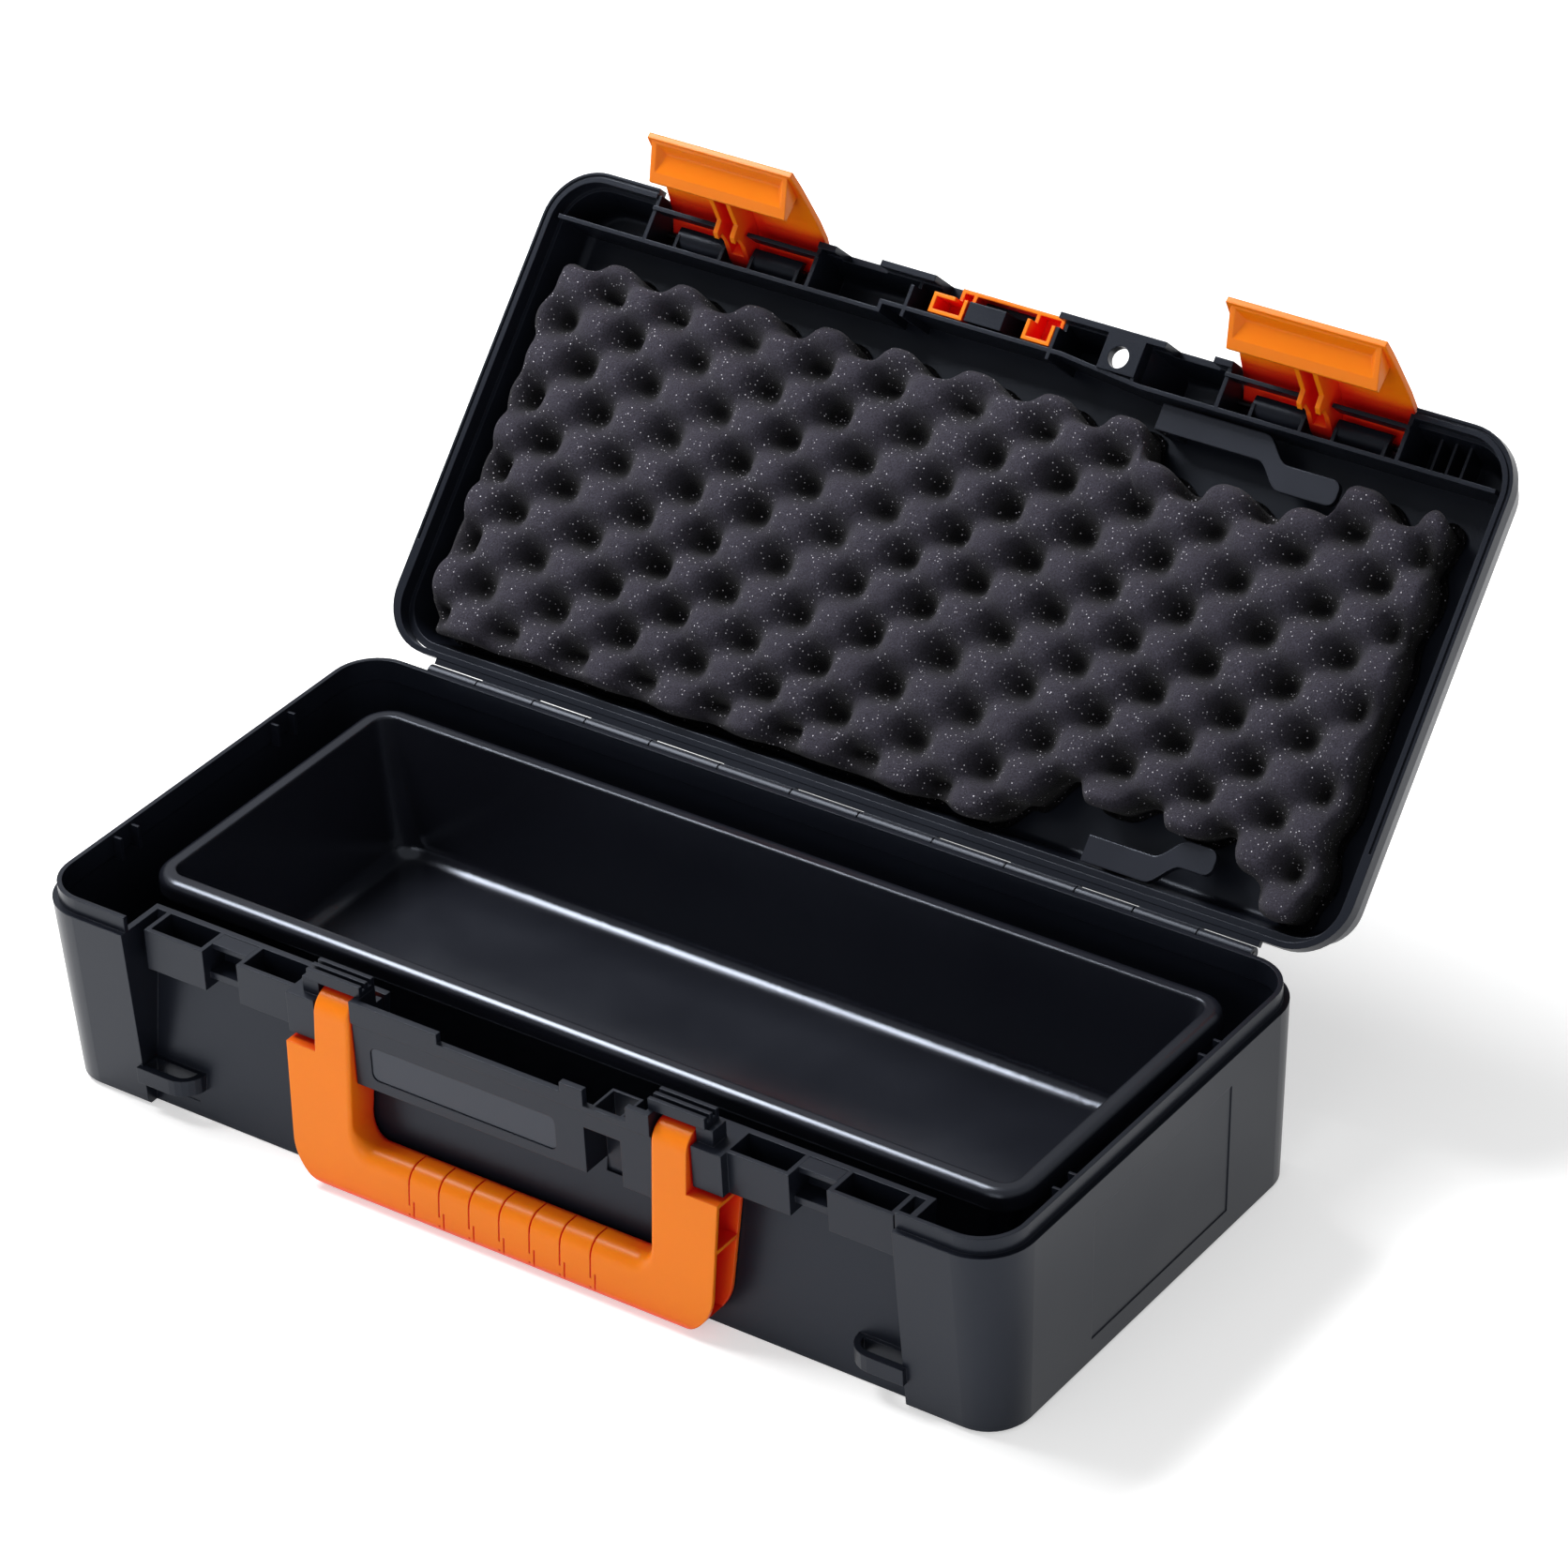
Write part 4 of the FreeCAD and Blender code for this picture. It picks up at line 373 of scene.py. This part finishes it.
def foam_material():
    """Dark violet-grey open foam: painted shade makes it darker in the pits, with pale cut cells,
    rough all over.
    """
    material, shader, wires = new_material("foam")
    place = wires.add("TexCoord").outputs["Object"]
    cells = wires.add("TexNoise", Scale=CELLS_PER_METRE, Detail=3.0, Roughness=0.7)
    specks = wires.add("TexVoronoi", Scale=SPECKS_PER_METRE, Randomness=1.0)
    for texture in (cells, specks):
        wires.join(place, texture.inputs["Vector"])
    # Painted shade: the colour runs from the ridge colour to near black as the stored pit depth
    # grows.
    pit_shade_ramp = wires.add("ValToRGB")
    ridge, pit_shade = pit_shade_ramp.color_ramp.elements
    ridge.position, ridge.color = 0.0, RIDGE_COLOUR
    pit_shade.position, pit_shade.color = PIT_SHADE_FULL_FROM, PIT_PAINTED_SHADE
    wires.join(wires.add("Attribute", attribute_name="pit_shade").outputs["Fac"], pit_shade_ramp.inputs["Fac"])
    shade = wires.add("VectorMath", operation="SCALE")
    wires.join(pit_shade_ramp.outputs["Color"], shade.inputs[0])
    mottle = wires.remap(cells.outputs["Fac"], NOISE_LOW, NOISE_HIGH, CELL_DARK, CELL_PALE)
    wires.join(mottle, shade.inputs["Scale"])
    chance = wires.add("SeparateColor")
    wires.join(specks.outputs["Color"], chance.inputs["Color"])
    inside = wires.work("LESS_THAN", specks.outputs["Distance"], SPECK_SIZE)
    chosen = wires.work("GREATER_THAN", chance.outputs["Red"], SPECK_RARITY)
    bright = wires.work("MULTIPLY", wires.work("MULTIPLY", inside, chosen), chance.outputs["Green"])
    mix = wires.add("Mix", data_type="RGBA")
    mix.inputs["B"].default_value = SPECK_COLOUR
    wires.join(bright, mix.inputs["Factor"])
    wires.join(shade.outputs["Vector"], mix.inputs["A"])
    wires.join(mix.outputs["Result"], shader.inputs["Base Color"])
    shader.inputs["Roughness"].default_value = 0.9
    shader.inputs["Specular IOR Level"].default_value = 0.15
    shader.inputs["Sheen Weight"].default_value = 0.08
    shader.inputs["Sheen Roughness"].default_value = 0.5
    bump = wires.add("Bump", Strength=0.9, Distance=0.0008)
    wires.join(cells.outputs["Fac"], bump.inputs["Height"])
    wires.join(bump.outputs["Normal"], shader.inputs["Normal"])
    return material


points, faces, depth = foam_sheet(SHEET_COLUMNS, SHEET_ROWS)
foam = mesh_piece("foam_sheet", points, faces, foam_material(), "lid")
# Each point's depth below the crests is stored to drive the painted shade in the pits.
foam.data.attributes.new("pit_shade", "FLOAT", "POINT").data.foreach_set("value", depth.astype(np.float32))
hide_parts("lid_foam")


# Studio floor: a pale sweep just under the case. What looks at it, or mirrors it, sees it whiter
# than it lights the case, and it keeps the case's shadow.
FLOOR_HALF, FLOOR_DROP = 6.0, 0.0004
FLOOR_GREY, FLOOR_GLOW = 0.9, 0.46
sweep = bpy.data.meshes.new("floor")
sweep.from_pydata([(x * FLOOR_HALF, y * FLOOR_HALF, -FLOOR_DROP)
                   for x, y in ((-1, -1), (1, -1), (1, 1), (-1, 1))], [], [(0, 1, 2, 3)])
floor = bpy.data.objects.new("floor", sweep)
bpy.context.scene.collection.objects.link(floor)
pale, shader, wires = new_material("pale_floor")
shader.inputs["Base Color"].default_value = (FLOOR_GREY, FLOOR_GREY, FLOOR_GREY, 1)
shader.inputs["Roughness"].default_value = 1.0
shader.inputs["Specular IOR Level"].default_value = 0.0
shader.inputs["Emission Color"].default_value = (1, 1, 1, 1)
rays = wires.add("LightPath")
seen = wires.work("MAXIMUM", rays.outputs["Is Camera Ray"], rays.outputs["Is Glossy Ray"])
seen = wires.work("MAXIMUM", seen, rays.outputs["Is Transmission Ray"])
wires.join(wires.work("MULTIPLY", seen, FLOOR_GLOW), shader.inputs["Emission Strength"])
sweep.materials.append(pale)


# Studio dome: white round the horizon and darker overhead, so that upright faces are paler than
# the insides. Its height is the upward part of the direction, from 0 to 1.
DOME_WHITE_TO, DOME_DARK_FROM, OVERHEAD = 0.02, 0.40, 0.36
world = bpy.data.worlds.new("studio")
bpy.context.scene.world = world
world.use_nodes = True
wires = Wires(world.node_tree)
background = world.node_tree.nodes["Background"]
background.inputs["Color"].default_value = (1, 1, 1, 1)
height = wires.add("SeparateXYZ")
wires.join(wires.add("TexCoord").outputs["Generated"], height.inputs["Vector"])
dome = wires.remap(height.outputs["Z"], DOME_WHITE_TO, DOME_DARK_FROM, 1.0, OVERHEAD,
             interpolation_type="SMOOTHSTEP")
wires.join(dome, background.inputs["Strength"])


# Lamps: a strong soft one over the case's left, which draws the long lines in the tray, and a
# weak one in front of it. Places and sizes are in metres and power in watts.
UPRIGHT = np.array([0, 0, 1.0])


def standing(x, y, z, place):
    """The matrix of an object with these three axes at a place."""
    turn = np.eye(4)
    turn[:3, 0], turn[:3, 1], turn[:3, 2], turn[:3, 3] = x, y, z, place
    return Matrix(turn.tolist())


def soft_lamp(name, place, target, wide, high, power):
    """A rectangular area lamp at a place, turned to face a target."""
    light = bpy.data.lights.new(name, "AREA")
    light.shape = "RECTANGLE"
    light.size, light.size_y, light.energy = wide, high, power
    lamp = bpy.data.objects.new(name, light)
    bpy.context.scene.collection.objects.link(lamp)
    z = np.array(place, float) - np.array(target, float)
    z /= np.linalg.norm(z)
    x = np.cross(UPRIGHT, z)
    x /= np.linalg.norm(x)
    lamp.matrix_world = standing(x, np.cross(z, x), z, place)


soft_lamp("key", place=(-1.1, 0.2, 1.8), target=(0, 0, 0.08), wide=1.4, high=0.6, power=54)
soft_lamp("fill", place=(0.3, -2.2, 1.0), target=(0, 0, 0.05), wide=1.4, high=0.8, power=7)


# Camera: where the photograph was taken from, worked out from the places of the case's corners
# in it. Angles are in degrees, and the origin's place is along the camera's right, down and
# forward axes, in metres.
AZIMUTH, ELEVATION, ROLL = 37.087, 32.561, -3.158
ORIGIN_SEEN = (-0.0435375, 0.1284669, 2.4578874)
PHOTO_PIXELS, FOCAL_PIXELS, SENSOR = 1672, 6807.43, 36
OFF_CENTRE = 0.2, -0.1                  # in pixels
NEAREST, FURTHEST = 0.01, 100
azimuth, elevation, roll = (math.radians(angle) for angle in (AZIMUTH, ELEVATION, ROLL))
away = np.array([math.sin(azimuth) * math.cos(elevation), -math.cos(azimuth) * math.cos(elevation),
                 math.sin(elevation)])
level_right = np.cross(-away, UPRIGHT)
level_right /= np.linalg.norm(level_right)
level_up = np.cross(level_right, -away)
right = math.cos(roll) * level_right + math.sin(roll) * level_up
up = -math.sin(roll) * level_right + math.cos(roll) * level_up
stand = -(np.stack([right, -up, -away]).T @ np.array(ORIGIN_SEEN))
view = bpy.data.cameras.new("camera")
view.sensor_width, view.lens = SENSOR, FOCAL_PIXELS / PHOTO_PIXELS * SENSOR
view.shift_x, view.shift_y = (pixels / PHOTO_PIXELS for pixels in OFF_CENTRE)
view.clip_start, view.clip_end = NEAREST, FURTHEST
camera = bpy.data.objects.new("camera", view)
camera.matrix_world = standing(right, up, away, stand)
bpy.context.scene.collection.objects.link(camera)
bpy.context.scene.camera = camera
bpy.context.scene.view_settings.view_transform = "Standard"
